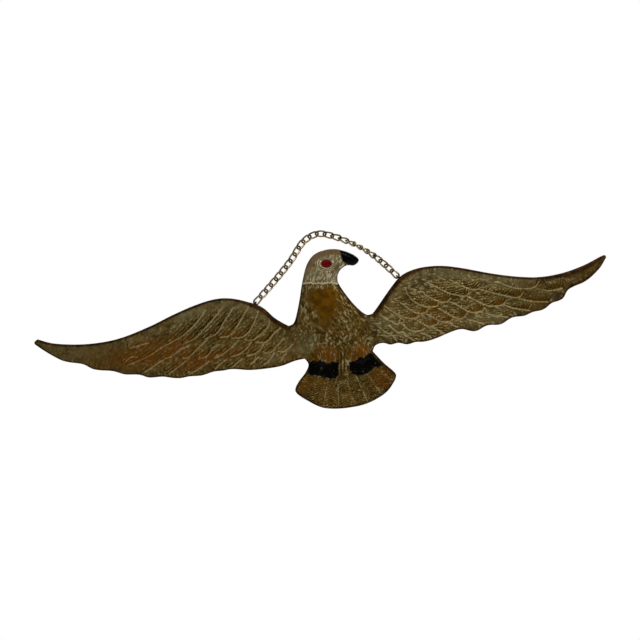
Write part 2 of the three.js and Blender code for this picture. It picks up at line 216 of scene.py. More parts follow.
def grain(u, v, seed):
    """Random heights from -1 to 1 at whole numbers of u and v, blended by smooth steps between them."""
    table = np.random.default_rng(seed).uniform(-1, 1, GRAIN_TABLE)
    i, j = np.floor(u).astype(int), np.floor(v).astype(int)
    fu, fv = smooth(u - i), smooth(v - j)

    def corner(a, b):
        return table[a % GRAIN_TABLE[0], b % GRAIN_TABLE[1]]

    low = corner(i, j) * (1 - fu) + corner(i + 1, j) * fu
    high = corner(i, j + 1) * (1 - fu) + corner(i + 1, j + 1) * fu
    return low * (1 - fv) + high * fv


def turned(x, z, angle):
    """x and z measured along and across a direction, given in degrees above the horizontal."""
    c, s = math.cos(math.radians(angle)), math.sin(math.radians(angle))
    return x * c + z * s, z * c - x * s


def strokes(across, lengthways, wide, long, seed):
    """Uneven strokes: two sizes of grain drawn out lengthways, on coordinates that a broader grain bends."""
    bent = across + 0.45 * wide * grain(across / (3 * wide), lengthways / long, seed)
    shifted = lengthways + 0.5 * long * grain(across / wide, 0 * across, seed + 1)
    broad = grain(bent / wide, shifted / long, seed + 2)
    narrow = grain(bent / (0.55 * wide) + 0.3, shifted / (0.5 * long), seed + 3)
    return np.clip(1.35 * broad + 0.85 * narrow, -1.25, 1.25)


def strokes_along(u, v, angle, wide, long, seed):
    """Strokes that run in a direction, given in degrees above the horizontal."""
    lengthways, across = turned(u, v, angle)
    return strokes(across, lengthways, wide, long, seed)


def barbs(across, lengthways, step, dash_length, seed):
    """Barbs: a wave across them, cut along each row into dashes that stand like bricks. From -1.5 to 1.5."""
    bent = across / step + 0.22 * grain(lengthways / 3.5, across / 4.0, seed)
    row = np.floor(bent + 0.25)
    place = lengthways / dash_length + 0.5 * row + 0.4 * grain(row, lengthways / 5, seed + 1)
    dash = smooth((0.45 - np.abs(place - np.floor(place) - 0.5)) / 0.22)
    flecks = strokes(across, lengthways, 1.1, 2.4, seed + 2)
    return np.clip(1.35 * np.sin(2 * math.pi * bent) * (0.1 + 0.9 * dash) + 0.5 * flecks, -1.5, 1.5)


print("grain at a half:", round(float(grain(np.array([0.5]), np.array([0.5]), 1)[0]), 3))

# %% [markdown]
# ## The outline
# The casting's silhouette is already in the fixed frame: the top of its upright edge is a ring of corners
# at one depth. Reading that ring keeps the looks exactly on the part. The triangles of the bevel in front
# of it say which corner follows which. The ring's straight stretches are then rounded again by a curve
# through its corners, with the few sharp corners kept.

# %% Read the ring off the casting
BACK_Y = -1.5
EDGE_WALL = 1.6
SAME_DEPTH = 0.01


def merged_corners(mesh):
    """A mesh's corners in millimetres, merged where they meet, and which of them each corner became."""
    places = np.empty(len(mesh.vertices) * 3)
    mesh.vertices.foreach_get("co", places)
    corners, same = np.unique(np.round(places.reshape(-1, 3) / MM, 3), axis=0, return_inverse=True)
    return corners, same.ravel()


def ordered_ring(mesh, depth):
    """The corners at one depth along Y, in order round the mesh, as X and Z in millimetres.

    A triangle with one side at that depth and its third corner in front of it gives one step round the ring.
    Joining on the corners that follow n steps later doubles a chain of n corners, and then n doubles too."""
    corners, same = merged_corners(mesh)
    loops = np.empty(len(mesh.loops), int)
    mesh.loops.foreach_get("vertex_index", loops)
    triangles = same[loops].reshape(-1, 3)
    first, second, third = (np.roll(triangles, -n, axis=1).ravel() for n in range(3))
    level = np.abs(corners[:, 1] - depth) < SAME_DEPTH
    side = level[first] & level[second] & (corners[third, 1] < depth - SAME_DEPTH)
    following = np.arange(len(corners))
    following[first[side]] = second[side]
    order = following[[first[side].min()]]
    while len(order) < side.sum():
        order = np.concatenate([order, following[order]])
        following = following[following]
    return corners[order[: side.sum()]][:, [0, 2]]


ring = ordered_ring(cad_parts["eagle"].data, BACK_Y - EDGE_WALL)
swept = ring[:, 0] @ np.roll(ring[:, 1], -1) - ring[:, 1] @ np.roll(ring[:, 0], -1)
print("corners of the ring", len(ring), "area in cm2", round(swept / 200, 1))

# %% Round it again
RING_STEP = 0.74
BOW = 0.25
SHARP_TURN = 42


def rounded(ring, step):
    """A closed cubic through the corners, in even short steps. Sharp corners keep their two slopes."""
    ahead = np.roll(ring, -1, axis=0)
    gap = np.linalg.norm(ahead - ring, axis=1)
    slope = (ahead - ring) / gap[:, None]
    before, last_gap = np.roll(slope, 1, axis=0), np.roll(gap, 1)
    shared = (before * gap[:, None] + slope * last_gap[:, None]) / (gap + last_gap)[:, None]
    sharp = (np.sum(before * slope, axis=1) < math.cos(math.radians(SHARP_TURN)))[:, None]
    leaving, arriving = np.where(sharp, slope, shared), np.where(sharp, before, shared)
    count = np.maximum(1, np.round(gap / step).astype(int))
    i = np.repeat(np.arange(len(ring)), count)
    t = ((np.arange(count.sum()) - np.repeat(np.cumsum(count) - count, count)) / count[i])[:, None]
    j = (i + 1) % len(ring)

    def eased(tangent):
        """The tangent, with its part across the straight stretch cut so that the curve bows by BOW at most.

        A cubic bows by 4/27 of the slope across at one end."""
        across = tangent - slope[i] * np.sum(tangent * slope[i], axis=1)[:, None]
        most = BOW * 27 / 4 / gap[i] / np.maximum(np.linalg.norm(across, axis=1), 1e-9)
        return (tangent - across * (1 - np.minimum(most, 1))[:, None]) * gap[i][:, None]

    return hermite(ring[i], ring[j], eased(leaving[i]), eased(arriving[j]), t)


outline = np.clip(rounded(ring, RING_STEP), ring.min(axis=0), ring.max(axis=0))
along = np.roll(outline, -1, axis=0) - np.roll(outline, 1, axis=0)
along /= np.linalg.norm(along, axis=1)[:, None]
outward = np.stack([along[:, 1], -along[:, 0]], axis=1)
print("points of the outline", len(outline))

# %% [markdown]
# ## Points for the front
# A casting's skin is continuous, so the front is one mesh. Its points lie in rows, each row shifted by half
# a step, which gives nearly equal triangles and no grain of squares in the shading. Rows are cut where they
# cross the outline, and Blender's constrained triangulation joins them to the outline's own points.

# %% Rows of points inside the outline
SPACING = 0.735
HEAD_SPACING = 0.5
HEAD_LEFT = -24
HEAD_RIGHT = 42
HEAD_BOTTOM = -53
CLEAR_OF_EDGE = 0.62
FAR = 9.0
WINDOW = 12.0


def rows_inside(outline, spacing):
    """Points in staggered rows, kept where an even-odd count of the row's crossings says inside."""
    low, high = outline.min(axis=0), outline.max(axis=0)
    ahead = np.roll(outline, -1, axis=0)
    found = []
    for n, level in enumerate(np.arange(low[1], high[1], spacing * math.sqrt(3) / 2)):
        crosses = (outline[:, 1] <= level) != (ahead[:, 1] <= level)
        a, b = outline[crosses], ahead[crosses]
        cuts = np.sort(a[:, 0] + (level - a[:, 1]) / (b[:, 1] - a[:, 1]) * (b[:, 0] - a[:, 0]))
        across = np.arange(low[0] + (n % 2) * spacing / 2, high[0], spacing)
        across = across[np.searchsorted(cuts, across) % 2 == 1]
        found.append(np.stack([across, np.full(len(across), level)], axis=1))
    return np.concatenate(found)


def nearest(points, outline):
    """Distance to the closest outline point, and which one it is, worked out in upright windows."""
    far = np.full(len(points), FAR)
    which = np.zeros(len(points), int)
    for left in np.arange(points[:, 0].min(), points[:, 0].max() + WINDOW, WINDOW):
        here = np.flatnonzero((points[:, 0] >= left) & (points[:, 0] < left + WINDOW))
        close = np.flatnonzero((outline[:, 0] > left - FAR) & (outline[:, 0] < left + WINDOW + FAR))
        if len(here) == 0:
            continue
        apart = np.hypot(
            points[here, 0][:, None] - outline[close, 0], points[here, 1][:, None] - outline[close, 1]
        )
        best = apart.argmin(axis=1)
        far[here] = apart[np.arange(len(here)), best]
        which[here] = close[best]
    return far, which


def about_head(points):
    """True in the box round the head, where the finest work is."""
    return (points[:, 0] > HEAD_LEFT) & (points[:, 0] < HEAD_RIGHT) & (points[:, 1] > HEAD_BOTTOM)


wide_rows, head_rows = rows_inside(outline, SPACING), rows_inside(outline, HEAD_SPACING)
inner = np.concatenate([wide_rows[~about_head(wide_rows)], head_rows[about_head(head_rows)]])
edge_far, edge_at = nearest(inner, outline)
keep = edge_far > CLEAR_OF_EDGE * np.where(about_head(inner), HEAD_SPACING / SPACING, 1)
inner, edge_far, edge_at = inner[keep], edge_far[keep], edge_at[keep]
plan = np.concatenate([outline, inner])
edge_far = np.concatenate([np.zeros(len(outline)), edge_far])
edge_at = np.concatenate([np.arange(len(outline)), edge_at])
x, z = plan[:, 0], plan[:, 1]
print("points on the front", len(plan))


# %% Triangles of the front and the back
def triangles(points, border):
    """Constrained Delaunay triangles inside a border, which is the first points in order, anticlockwise.

    A triangle that touches only the border lies inside it when its corners, too, go round in rising order."""
    places, ring_order = [Vector(p) for p in points.tolist()], [list(range(border))]
    made = geometry.delaunay_2d_cdt(places, [], ring_order, 0, 1e-6, False)
    assert len(made[0]) == len(points), "points fell together"
    a, b, c = np.array(made[2]).T
    inside = (np.maximum(np.maximum(a, b), c) >= border) | ((a < b).astype(int) + (b < c) + (c < a) == 2)
    return np.column_stack([a, b, c])[inside]


BACK_INSET = 0.25
back_ring = outline - outward * BACK_INSET
front_faces = triangles(plan, len(outline))
back_faces = triangles(back_ring, len(outline))
print("triangles, front and back", len(front_faces), len(back_faces))

# %% [markdown]
# ## The plate and its bevel
# The ground of the wings is a plate about 3 mm thick. Its rim falls to the upright edge in a rounded bevel,
# which is widest at the shoulders and along the upper edge of the right wing's tip. The ground isn't flat
# on the real casting: its maker stippled it with short strokes that follow the wing.

# %% Bevel widths
PLATE = 3.2
EDGE_BEVEL = 1.3
SHOULDER_BEVEL = 4.2
TIP_BEVEL = 3.4
BODY_HALF = 44

on_top = (outward[:, 1] > 0) & (np.abs(outline[:, 0]) > BODY_HALF)
shoulder = between(outline[:, 0], -95, -72, 86, 112)
wing_tip = between(outline[:, 0], 225, 262, 276, 294)
wider = (SHOULDER_BEVEL - EDGE_BEVEL) * shoulder + (TIP_BEVEL - EDGE_BEVEL) * wing_tip
bevel = (EDGE_BEVEL + on_top * wider)[edge_at]
print("bevel from", round(bevel.min(), 1), "to", round(bevel.max(), 1), "mm")

# %% The stippled ground
STIPPLE = 0.2
GROUND_STROKE = (1.25, 2.8)
EDGE_STROKE = (1.35, 3.2)
RIGHT_SLOPE = -14
LEFT_SLOPE = 36
RIGHT_TONE = 1.1
LEFT_TONE = 0.7

edge_run = np.concatenate([[0], np.cumsum(np.linalg.norm(np.diff(outline, axis=0), axis=1))])[edge_at]
edge_strokes = strokes(edge_run, edge_far, *EDGE_STROKE, 11)
right_strokes = strokes_along(x, z, RIGHT_SLOPE, *GROUND_STROKE, 21)
left_strokes = strokes_along(x, z, LEFT_SLOPE, *GROUND_STROKE, 31)
near_edge = smooth((7.5 - edge_far) / 3)
ground_strokes = edge_strokes * near_edge + np.where(x > 0, right_strokes, left_strokes) * (1 - near_edge)
depth = PLATE + STIPPLE * ground_strokes
ridge = np.where(x > 0, RIGHT_TONE, LEFT_TONE) * ground_strokes
gold = np.zeros(len(plan))
vane = np.full(len(plan), 0.8)
print("ground from", round(depth.min(), 2), "to", round(depth.max(), 2), "mm")

# %% [markdown]
# ## Wing feathers
# Each feather has a thin raised rim along its lower edge, which curls up round the tip. Beside the rim lies
# a field of barbs that slant off it like a herringbone, and inside the curl most feathers have a smooth
# golden hollow. A feather overlaps the one below.
#
# A rim is given by how gold its hollow is and the few points it passes, from root to tip. Each row of
# feathers also has its lift above the plate and the slant of its barbs in degrees. Every point of the front
# gets its distance from a rim and its place along it, and the feather's height is a formula in those two.
# Wherever two feathers meet the higher one wins, which gives the overlaps without cutting a surface.

# %% Rims of the feathers, in rows from the flight feathers up
RIGHT_FEATHERS = [
    (0.0, 26, [
        (0.2, (47, -102), (53, -109), (59, -113), (62, -112)),
        (0.3, (58, -103), (63, -108), (68, -113), (74, -113)),
        (0.2, (55, -96), (62, -100), (69, -104), (72, -103)),
        (0.5, (70, -101), (83, -114), (91, -115), (97, -113)),
        (0, (60, -114), (62, -117), (66, -123)),
        (0, (73, -115), (76, -118), (84, -125)),
        (0, (91, -117), (95, -119), (102, -124)),
        (0, (103, -113), (107, -115), (116, -122)),
        (0, (122, -111), (126, -114), (131, -118)),
        (0.1, (142, -111), (150, -114), (161, -120)),
        (0.1, (161, -107), (168, -110), (187, -116))]),
    (0.3, 28, [
        (0.3, (58, -83), (70, -94), (87, -101), (93, -99)),
        (0.8, (75, -82), (91, -96), (99, -97), (105, -92)),
        (0.5, (87, -102), (104, -112), (111, -110), (113, -107)),
        (0.4, (99, -98), (120, -110), (124, -110), (127, -108)),
        (0.4, (114, -95), (122, -101), (137, -109), (144, -104)),
        (0.5, (128, -90), (153, -105), (160, -104), (163, -101)),
        (0.9, (146, -87), (170, -101), (182, -101), (185, -99))]),
    (0.3, 62, [
        (0.1, (183, -102), (191, -106), (209, -112)),
        (0.2, (200, -98), (214, -103), (230, -106)),
        (0.4, (219, -90), (231, -94), (247, -94))]),
    (0.6, 28, [
        (0.7, (83, -67), (83, -72), (87, -80), (107, -92), (114, -91), (115, -88)),
        (0.9, (98, -73), (110, -84), (124, -89), (129, -86)),
        (0.3, (105, -65), (136, -84), (145, -86), (149, -83)),
        (0.1, (131, -67), (142, -75), (155, -81), (160, -81))]),
    (0.6, 58, [
        (0.7, (161, -82), (185, -92), (200, -96), (205, -93)),
        (0.5, (178, -76), (205, -88), (220, -87), (224, -83))]),
]
LEFT_FEATHERS = [
    (0.0, 24, [
        (0, (-52, -117), (-54, -118), (-59, -123)),
        (0, (-65, -114), (-68, -118), (-77, -125)),
        (0, (-82, -116), (-87, -119), (-92, -122)),
        (0.1, (-100, -115), (-105, -118), (-111, -122)),
        (0.1, (-116, -113), (-122, -116), (-129, -121)),
        (0.1, (-134, -112), (-149, -119), (-157, -122)),
        (0.3, (-154, -105), (-166, -112), (-178, -118)),
        (0.3, (-182, -103), (-189, -106), (-204, -113))]),
    (0.3, 28, [
        (0.3, (-44, -108), (-50, -112), (-56, -114), (-61, -113)),
        (0.6, (-53, -100), (-59, -106), (-71, -113), (-76, -112)),
        (0.4, (-75, -103), (-80, -109), (-87, -112), (-94, -112)),
        (0.4, (-87, -99), (-95, -106), (-104, -110), (-111, -111)),
        (0.3, (-100, -95), (-109, -101), (-120, -107), (-128, -109)),
        (0.7, (-121, -96), (-128, -99), (-134, -105), (-145, -108)),
        (0.8, (-133, -89), (-146, -98), (-155, -104), (-161, -105)),
        (0.9, (-153, -92), (-163, -95), (-172, -100), (-181, -102)),
        (0.8, (-170, -86), (-180, -89), (-198, -97), (-219, -102)),
        (0.3, (-208, -96), (-216, -95), (-222, -99))]),
    (0.6, 36, [
        (0.4, (-54, -89), (-60, -92), (-71, -101), (-83, -100)),
        (0.5, (-64, -75), (-65, -82), (-78, -94), (-87, -97), (-94, -95)),
        (0.5, (-74, -67), (-83, -82), (-92, -91), (-107, -92)),
        (0.5, (-83, -60), (-97, -77), (-108, -88), (-119, -89)),
        (0.6, (-100, -60), (-111, -72), (-122, -84), (-135, -88)),
        (0.6, (-110, -57), (-130, -74), (-146, -86), (-156, -89)),
        (0.3, (-129, -58), (-148, -75), (-160, -82), (-172, -86)),
        (0.1, (-194, -83), (-199, -83), (-206, -84), (-215, -85))]),
]
print("feather rims", sum(len(row[2]) for row in RIGHT_FEATHERS + LEFT_FEATHERS))

# %% A rim's curve, and each point's place beside it
RIM_POINTS = 60


def rim_curve(points):
    """Even points along the smooth curve through a rim's points, and how far along each one is."""
    knots = np.concatenate([[0], np.cumsum(np.linalg.norm(np.diff(points, axis=0), axis=1))])
    curve = through(knots, points.astype(float), np.linspace(0, knots[-1], RIM_POINTS))
    return curve, np.concatenate([[0], np.cumsum(np.linalg.norm(np.diff(curve, axis=0), axis=1))])


def along_and_off(curve, run, side, px, pz):
    """Each point's place along a curve and its distance off it, positive on the feather's side."""
    apart = np.hypot(px[:, None] - curve[:, 0], pz[:, None] - curve[:, 1])
    at = apart.argmin(axis=1)
    heading = np.gradient(curve, axis=0)
    heading /= np.linalg.norm(heading, axis=1)[:, None]
    ahead = (px - curve[at, 0]) * heading[at, 0] + (pz - curve[at, 1]) * heading[at, 1]
    off = side * ((pz - curve[at, 1]) * heading[at, 0] - (px - curve[at, 0]) * heading[at, 1])
    return run[at] + ahead, np.where(off >= 0, 1, -1) * apart[np.arange(len(at)), at]


first_rim = np.array(RIGHT_FEATHERS[0][2][0][1:])
print("first rim:", round(float(rim_curve(first_rim)[1][-1]), 1), "mm long")

# %% A feather's surface from its rim
ROOT_SINK = 0.25
FEATHER_RISE = 0.95
FEATHER_WIDTH = 11.5
FEATHER_TILT = 0.9
FEATHER_FOOT = 1.2
RIM_OFF = 0.4
RIM_HALF = 0.74
BARB_HEIGHT = 0.24
HOLLOW_DEPTH = 0.3
TIP_ROUND = 0.05
RIGHT_WING = dict(
    side=1, rows=RIGHT_FEATHERS, barbs=(2.7, 3.1), tone=1.0, gold=1.0, fade=5, rim_root=0.75, rim_tip=1.0
)
LEFT_WING = dict(
    side=-1, rows=LEFT_FEATHERS, barbs=(3.3, 5.0), tone=0.8, gold=0.3, fade=9, rim_root=0.85, rim_tip=0.65
)


def feather(px, pz, points, wing, lift, slant, golden, seed):
    """Height, colour line, hollow, rim and upper vane of one feather, by the place along its rim and off it.

    Height: rises evenly from root to tip, falls from the rim inward, and drops away within half a millimetre
    outside the rim. The rim is a narrow hill along the curve. The vane is darkest and most golden beside it.
    On the right wing the barbs slant off the rim. On the left they keep one direction, and tips are round."""
    curve, run = rim_curve(np.array(points))
    s, off = along_and_off(curve, run, wing["side"], px, pz)
    share = np.clip(s / run[-1], 0, 1)
    if wing["side"] > 0:
        lengthways, across = turned(s, off, slant)
        wave = barbs(-across, lengthways, *wing["barbs"], seed)
        past = np.maximum(s - run[-1], 0)
    else:
        lengthways, across = turned(px, pz, slant)
        wave = barbs(across, lengthways, *wing["barbs"], seed)
        past = np.maximum(s - run[-1] - 0.6 + TIP_ROUND * np.maximum(off, 0) ** 2, 0)
    wave = wing["tone"] * wave
    rim = hill((off - RIM_OFF) / RIM_HALF) * smooth((s + 2.5) / 3) * smooth((run[-1] + 0.9 - s) / 1.4)
    hollow = wing["gold"] * golden * hill((s - run[-1] + 6.2) / 5.0) * hill((off - 3.9) / 2.7)
    field = smooth((off - 0.9) / 0.9) * (1 - 0.85 * smooth(1.4 * hollow))
    shown = smooth((off + 0.45) / 0.6) * smooth((FEATHER_WIDTH + 2 - off) / 3.5) * smooth((s + 1.5) / 3)
    shown = shown * smooth(1.6 - past / 2.2)
    top = (
        PLATE - ROOT_SINK + (FEATHER_RISE + ROOT_SINK) * share + lift * (0.45 + 0.55 * share)
        - FEATHER_TILT * np.clip(off / FEATHER_WIDTH, 0, 1)
        + BARB_HEIGHT * wave * field - HOLLOW_DEPTH * hollow
    )
    upper = smooth((off - 2.5) / 6.5)
    fade = smooth((run[-1] + 1 - s) / wing["fade"])
    line = (1.0 - 0.3 * upper) * wave * field - 0.5 * hollow + 0.04 - (0.42 - 0.4 * upper) * fade
    rim = rim * (wing["rim_root"] + (wing["rim_tip"] - wing["rim_root"]) * share)
    return PLATE - FEATHER_FOOT + (top - PLATE + FEATHER_FOOT) * shown, line, hollow, rim, upper


print("a feather rises", ROOT_SINK + FEATHER_RISE, "mm from root to tip and is", FEATHER_WIDTH, "mm wide")

# %% Lay the feathers on
RIM_HEIGHT = 0.4
RIM_TONE = 1.9
REACH = 14


def lay_on(where, top, line, hollow, upper):
    """Where a form stands higher than what is there, its height, line, hollow and vane take over."""
    higher = top > depth[where]
    for field, new in ((depth, top), (ridge, line), (gold, hollow), (vane, upper)):
        field[where[higher]] = np.broadcast_to(new, top.shape)[higher]
    return int(higher.sum())


rims = np.zeros(len(plan))
seed = 100
for wing in (RIGHT_WING, LEFT_WING):
    for lift, slant, feathers in wing["rows"]:
        for golden, *points in feathers:
            seed += 2
            low, high = np.min(points, axis=0) - REACH, np.max(points, axis=0) + REACH
            near = np.flatnonzero((x > low[0]) & (x < high[0]) & (z > low[1]) & (z < high[1]))
            top, line, hollow, rim, upper = feather(x[near], z[near], points, wing, lift, slant, golden, seed)
            lay_on(near, top, line, hollow, upper)
            rims[near] = np.maximum(rims[near], rim)
depth = depth + RIM_HEIGHT * rims
# The rims are drawn pale in colour, which the patina turns into rubbed brass and painted highlight.
ridge = ridge * (1 - np.minimum(1.1 * rims, 1)) + RIM_TONE * rims
gold = gold * (1 - rims)
darker_tips = 0.4 * smooth((x - 165) / 60) + 0.25 * smooth((-x - 175) / 60)
ridge = ridge - darker_tips
print("deepest feather", round(depth.max(), 2), "mm")

# %% [markdown]
# ## Tail
# Eight feathers fan out from a point in the body. Each leans: its outer edge stands proud and shows as a
# pale ray, and barbs slope down and out from its middle. Polar coordinates about the fan's centre make that
# a repeat in the angle.

# %% Fan
FAN_CENTRE = (3, -100)
FAN_STEP = 11.5
FAN_FIRST = -36
FAN_COUNT = 8
FAN_ROOT = 34
TAIL_TOP = -122
TAIL_HALF = 60
TAIL_RISE = 1.5
TAIL_BARBS = (2.7, 3.6)


def fan(x, z):
    """Height and colour line of the fan. t runs 0 to 1 across a feather, towards its proud outer edge.

    A ray is a narrow hill at the outer edge with a fainter one at the inner. Barbs are waves along the reach
    that bend back with the distance from the shaft."""
    right, down = x - FAN_CENTRE[0], FAN_CENTRE[1] - z
    reach, angle = np.hypot(right, down), np.degrees(np.arctan2(right, down))
    place = (angle - FAN_FIRST) / FAN_STEP + 0.5
    which = np.clip(np.floor(place), 0, FAN_COUNT - 1)
    t = place - which
    t = np.where(FAN_FIRST + which * FAN_STEP >= 0, t, 1 - t)
    half = math.radians(FAN_STEP) * reach / 2
    shaft = np.abs(t - 0.5) * 2 * half
    fade = 0.55 + 0.45 * smooth(0.7 + 1.6 * grain(reach / 5.0, which * 3.7, 33))
    fade = fade * (0.45 + 0.55 * between(angle, -27, -17, 28, 38))
    ray = fade * (hill(((1 - t) * 2 * half - 0.6) / 0.75) + 0.5 * hill(t * 2 * half / 0.5))
    wave = barbs(reach - 1.1 * shaft + 0.07 * shaft**2, shaft + 40 * which, *TAIL_BARBS, 31)
    field = (0.35 + 0.65 * smooth(shaft / 1.2)) * (1 - np.clip(1.2 * ray, 0, 1))
    rough_end = smooth((9 - edge_far) / 6)
    top = PLATE + TAIL_RISE * np.clip(t, 0, 1) + 0.45 * ray + 0.26 * wave * field
    shown = smooth((reach - FAN_ROOT + 3) / 3) * smooth((TAIL_TOP - z) / 3) * (np.abs(right) < TAIL_HALF)
    tufts = 0.45 * grain(shaft / 2.2 + 9 * which, reach / 3.1, 35)
    line = 1.35 * ray + (0.7 + 0.3 * rough_end) * wave * field + tufts - 0.12 - 0.25 * rough_end
    return PLATE - 1 + (top - PLATE + 1) * shown, line


everywhere = np.arange(len(plan))
print("tail points", lay_on(everywhere, *fan(x, z), 0, 0.15))

# %% [markdown]
# ## Body, legs and head
# The body swells out of the plate in half-round slices, from the rump to the crown, and the painted head
# stands a step proud of the neck at a slanting collar. Fine strokes run down the breast and cross each
# other on the belly, and the middle of the chest is rubbed smooth and golden. The bird itself stands
# upright in the picture while the wings lie nine degrees off level, so the finer marks are placed in the
# bird's own upright directions.

# %% The bird's own directions
bird_x = x * math.cos(LEAN) - z * math.sin(LEAN)
bird_z = x * math.sin(LEAN) + z * math.cos(LEAN)
print("bird's own span across", round(bird_x.min()), "to", round(bird_x.max()), "mm")

# %% Half-round slices
# Each slice has its height on the slanting scale, its left end, its right end and its rise.
BODY_SLICES = np.array([
    (-137, -4, 18, 4.2), (-131, -20, 30, 6.2), (-122, -31, 36.5, 8), (-110, -37.5, 38, 9.0),
    (-98, -39, 39, 9.25), (-84, -37, 36, 9.1), (-72, -32.5, 27, 8.5), (-60, -28.5, 19, 7.7),
    (-52.4, -26.2, 14.8, 7.15), (-51, -25.8, 14, 7.1), (-49.6, -25.3, 13.6, 8.2), (-40, -22, 15, 8.5),
    (-32, -18.5, 20.5, 8.6), (-25, -15.5, 22, 8.1), (-19, -11.5, 22, 7), (-14.5, -6, 21, 5.2),
    (-12, 3, 12, 3.4),
])
SLICE_SLOPE = -0.158
SWELL_FOOT = 2.0

slice_height = z - SLICE_SLOPE * x
left, right, rise = through(BODY_SLICES[:, 0], BODY_SLICES[:, 1:], slice_height).T
spread = 2 * (x - (left + right) / 2) / (right - left)
on_body = (np.abs(spread) < 1) & (slice_height > BODY_SLICES[0, 0]) & (np.abs(x) < 60)
body = SWELL_FOOT + (rise - SWELL_FOOT) * np.sqrt(np.clip(1 - spread**2, 0, 1))
print("body points", int(on_body.sum()))


# %% Soft ovals and crossed strokes
OVAL_END = 1.25


def ovals(across, up, stains, core):
    """The sum of soft-edged ovals, each given by its strength, middle, two radii and tilt.

    An oval is full within `core` of its radii and nothing past OVAL_END of them, by a smooth step."""
    total = np.zeros(len(plan))
    for strength, middle, radii, tilt in stains:
        u, v = turned(across - middle[0], up - middle[1], tilt)
        far = np.hypot(u / radii[0], v / radii[1])
        total += strength * (1 - smooth((far - core) / (OVAL_END - core)))
    return total


def crossed(u, v, angle, wide, long, seed):
    """The higher of two sets of strokes that lean to either side of upright by an angle."""
    one = strokes_along(u, v, 90 - angle, wide, long, seed)
    other = strokes_along(u, v, 90 + angle, wide, long, seed + 5)
    return np.maximum(one, other) - 0.35


print("a soft oval ends at", OVAL_END, "of its radii")

# %% Strokes and the rubbed chest
BODY_CORE = 0.55
CHEST_RUBS = [(1.1, (9, -66), (13.5, 20), 0), (0.6, (8, -88), (8, 12), 0), (0.45, (2, -62), (17, 15), 0)]
NECK_SIDE = [(1.0, (-17, -66), (9, 24), 0)]
FAN_FROM = (6, -10)
FAN_RADIUS = 75
MARK_HEIGHT = 0.3

chest_rub = ovals(bird_x, bird_z, CHEST_RUBS, BODY_CORE)
rub_grain = grain(bird_x / 2.6, bird_z / 4.2, 46)
chest_rub = np.clip(chest_rub + 0.4 * rub_grain * (chest_rub < 0.95), 0, 1)
fan_angle = np.arctan2(bird_x - FAN_FROM[0], FAN_FROM[1] - bird_z)
fan_reach = np.hypot(bird_x - FAN_FROM[0], bird_z - FAN_FROM[1])
breast_strokes = strokes(fan_angle * FAN_RADIUS, fan_reach, 1.3, 3.6, 41)
belly_strokes = crossed(bird_x, bird_z, 32, 1.3, 3.2, 43)
slant_strokes = strokes_along(bird_x, bird_z, -50, 1.1, 3.2, 51)
belly = between(bird_z, -124, -114, -98, -84)
right_chest = smooth((bird_x - 12) / 6) * between(bird_z, -98, -86, -58, -50)
marks = belly * belly_strokes + (1 - belly) * 0.8 * breast_strokes
marks = marks * (1 - right_chest) + 0.85 * slant_strokes * right_chest
marks = marks * (1 - 0.85 * chest_rub) + 0.15 * grain(bird_x / 1.4, bird_z / 1.4, 44)
neck_side = ovals(bird_x, bird_z, NECK_SIDE, BODY_CORE)
body_ridge = 0.12 + 1.3 * marks + 0.12 * neck_side
body = body + MARK_HEIGHT * np.clip(marks, -1, 1)
print("strongest mark", round(float(np.abs(marks).max()), 2))

# %% Thighs
# A thigh is half an oval, given by its middle, its two radii and its tilt.
THIGHS = [((-12, -126), (15.5, 12), 10), ((25, -129), (14, 12), 35)]
THIGH_RISE = 8.6

thigh = np.zeros(len(plan))
for middle, (wide, high), tilt in THIGHS:
    u, v = turned(x - middle[0], z - middle[1], tilt)
    swell = np.sqrt(np.clip(1 - (u / wide) ** 2 - (v / high) ** 2, 0, 1))
    thigh = np.maximum(thigh, SWELL_FOOT + (THIGH_RISE - SWELL_FOOT) * swell)
thigh_marks = 0.7 * strokes(bird_x + 0.12 * bird_z, bird_z, 1.2, 4.0, 61)
thigh = np.where(thigh > SWELL_FOOT, thigh + MARK_HEIGHT * thigh_marks, 0)
print("thigh points", int((thigh > 0).sum()))


# %% Painted leg bands and the stem between the legs
def within(corners):
    """Distance in from a closed polygon's sides: that of the nearest side, positive inside by crossings."""
    closest = np.full(len(plan), 1e9)
    odd = np.zeros(len(plan), bool)
    for (ax, az), (bx, bz) in zip(corners, corners[1:] + corners[:1]):
        dx, dz = bx - ax, bz - az
        t = np.clip(((x - ax) * dx + (z - az) * dz) / (dx * dx + dz * dz), 0, 1)
        closest = np.minimum(closest, np.hypot(x - ax - t * dx, z - az - t * dz))
        odd ^= ((az > z) != (bz > z)) & (x < ax + (z - az) / (dz if dz else 1e-9) * dx)
    return np.where(odd, closest, -closest)


LEFT_BAND = [
    (-27.8, -128), (-23.9, -127.5), (-21.6, -129.5), (-18.1, -127.9), (-15.8, -130.4), (-13.6, -130),
    (-11.9, -132.6), (-8.8, -133.3), (-5.9, -131.7), (-2.3, -132.8), (1.5, -132.6), (-0.1, -139.8),
    (-1.6, -147.1), (-4.4, -149.9), (-9.8, -149.9), (-13.8, -147.9), (-17.4, -147.4), (-20.8, -144.6),
    (-25.9, -143.5), (-30.2, -143.1), (-33, -140), (-31, -132),
]
RIGHT_BAND = [
    (12.4, -134.9), (17.2, -135.1), (20.6, -134), (23.1, -131.7), (25.7, -131.9), (27.6, -133.5),
    (30.6, -131.3), (33, -129.9), (36.5, -129), (39, -134.1), (43, -139), (47, -144.4), (41.3, -145.1),
    (37.6, -144.7), (34, -147.4), (28.7, -150.3), (22.1, -151.2), (16.9, -150.4), (13.5, -147.9),
    (11.5, -143.8), (11.5, -139),
]
BAND_RISE = 6.2
BAND_DROP = 2.6
STEM_MIDDLE = 26.2
STEM_HALF = 5.6
STEM_PITCH = 3.4

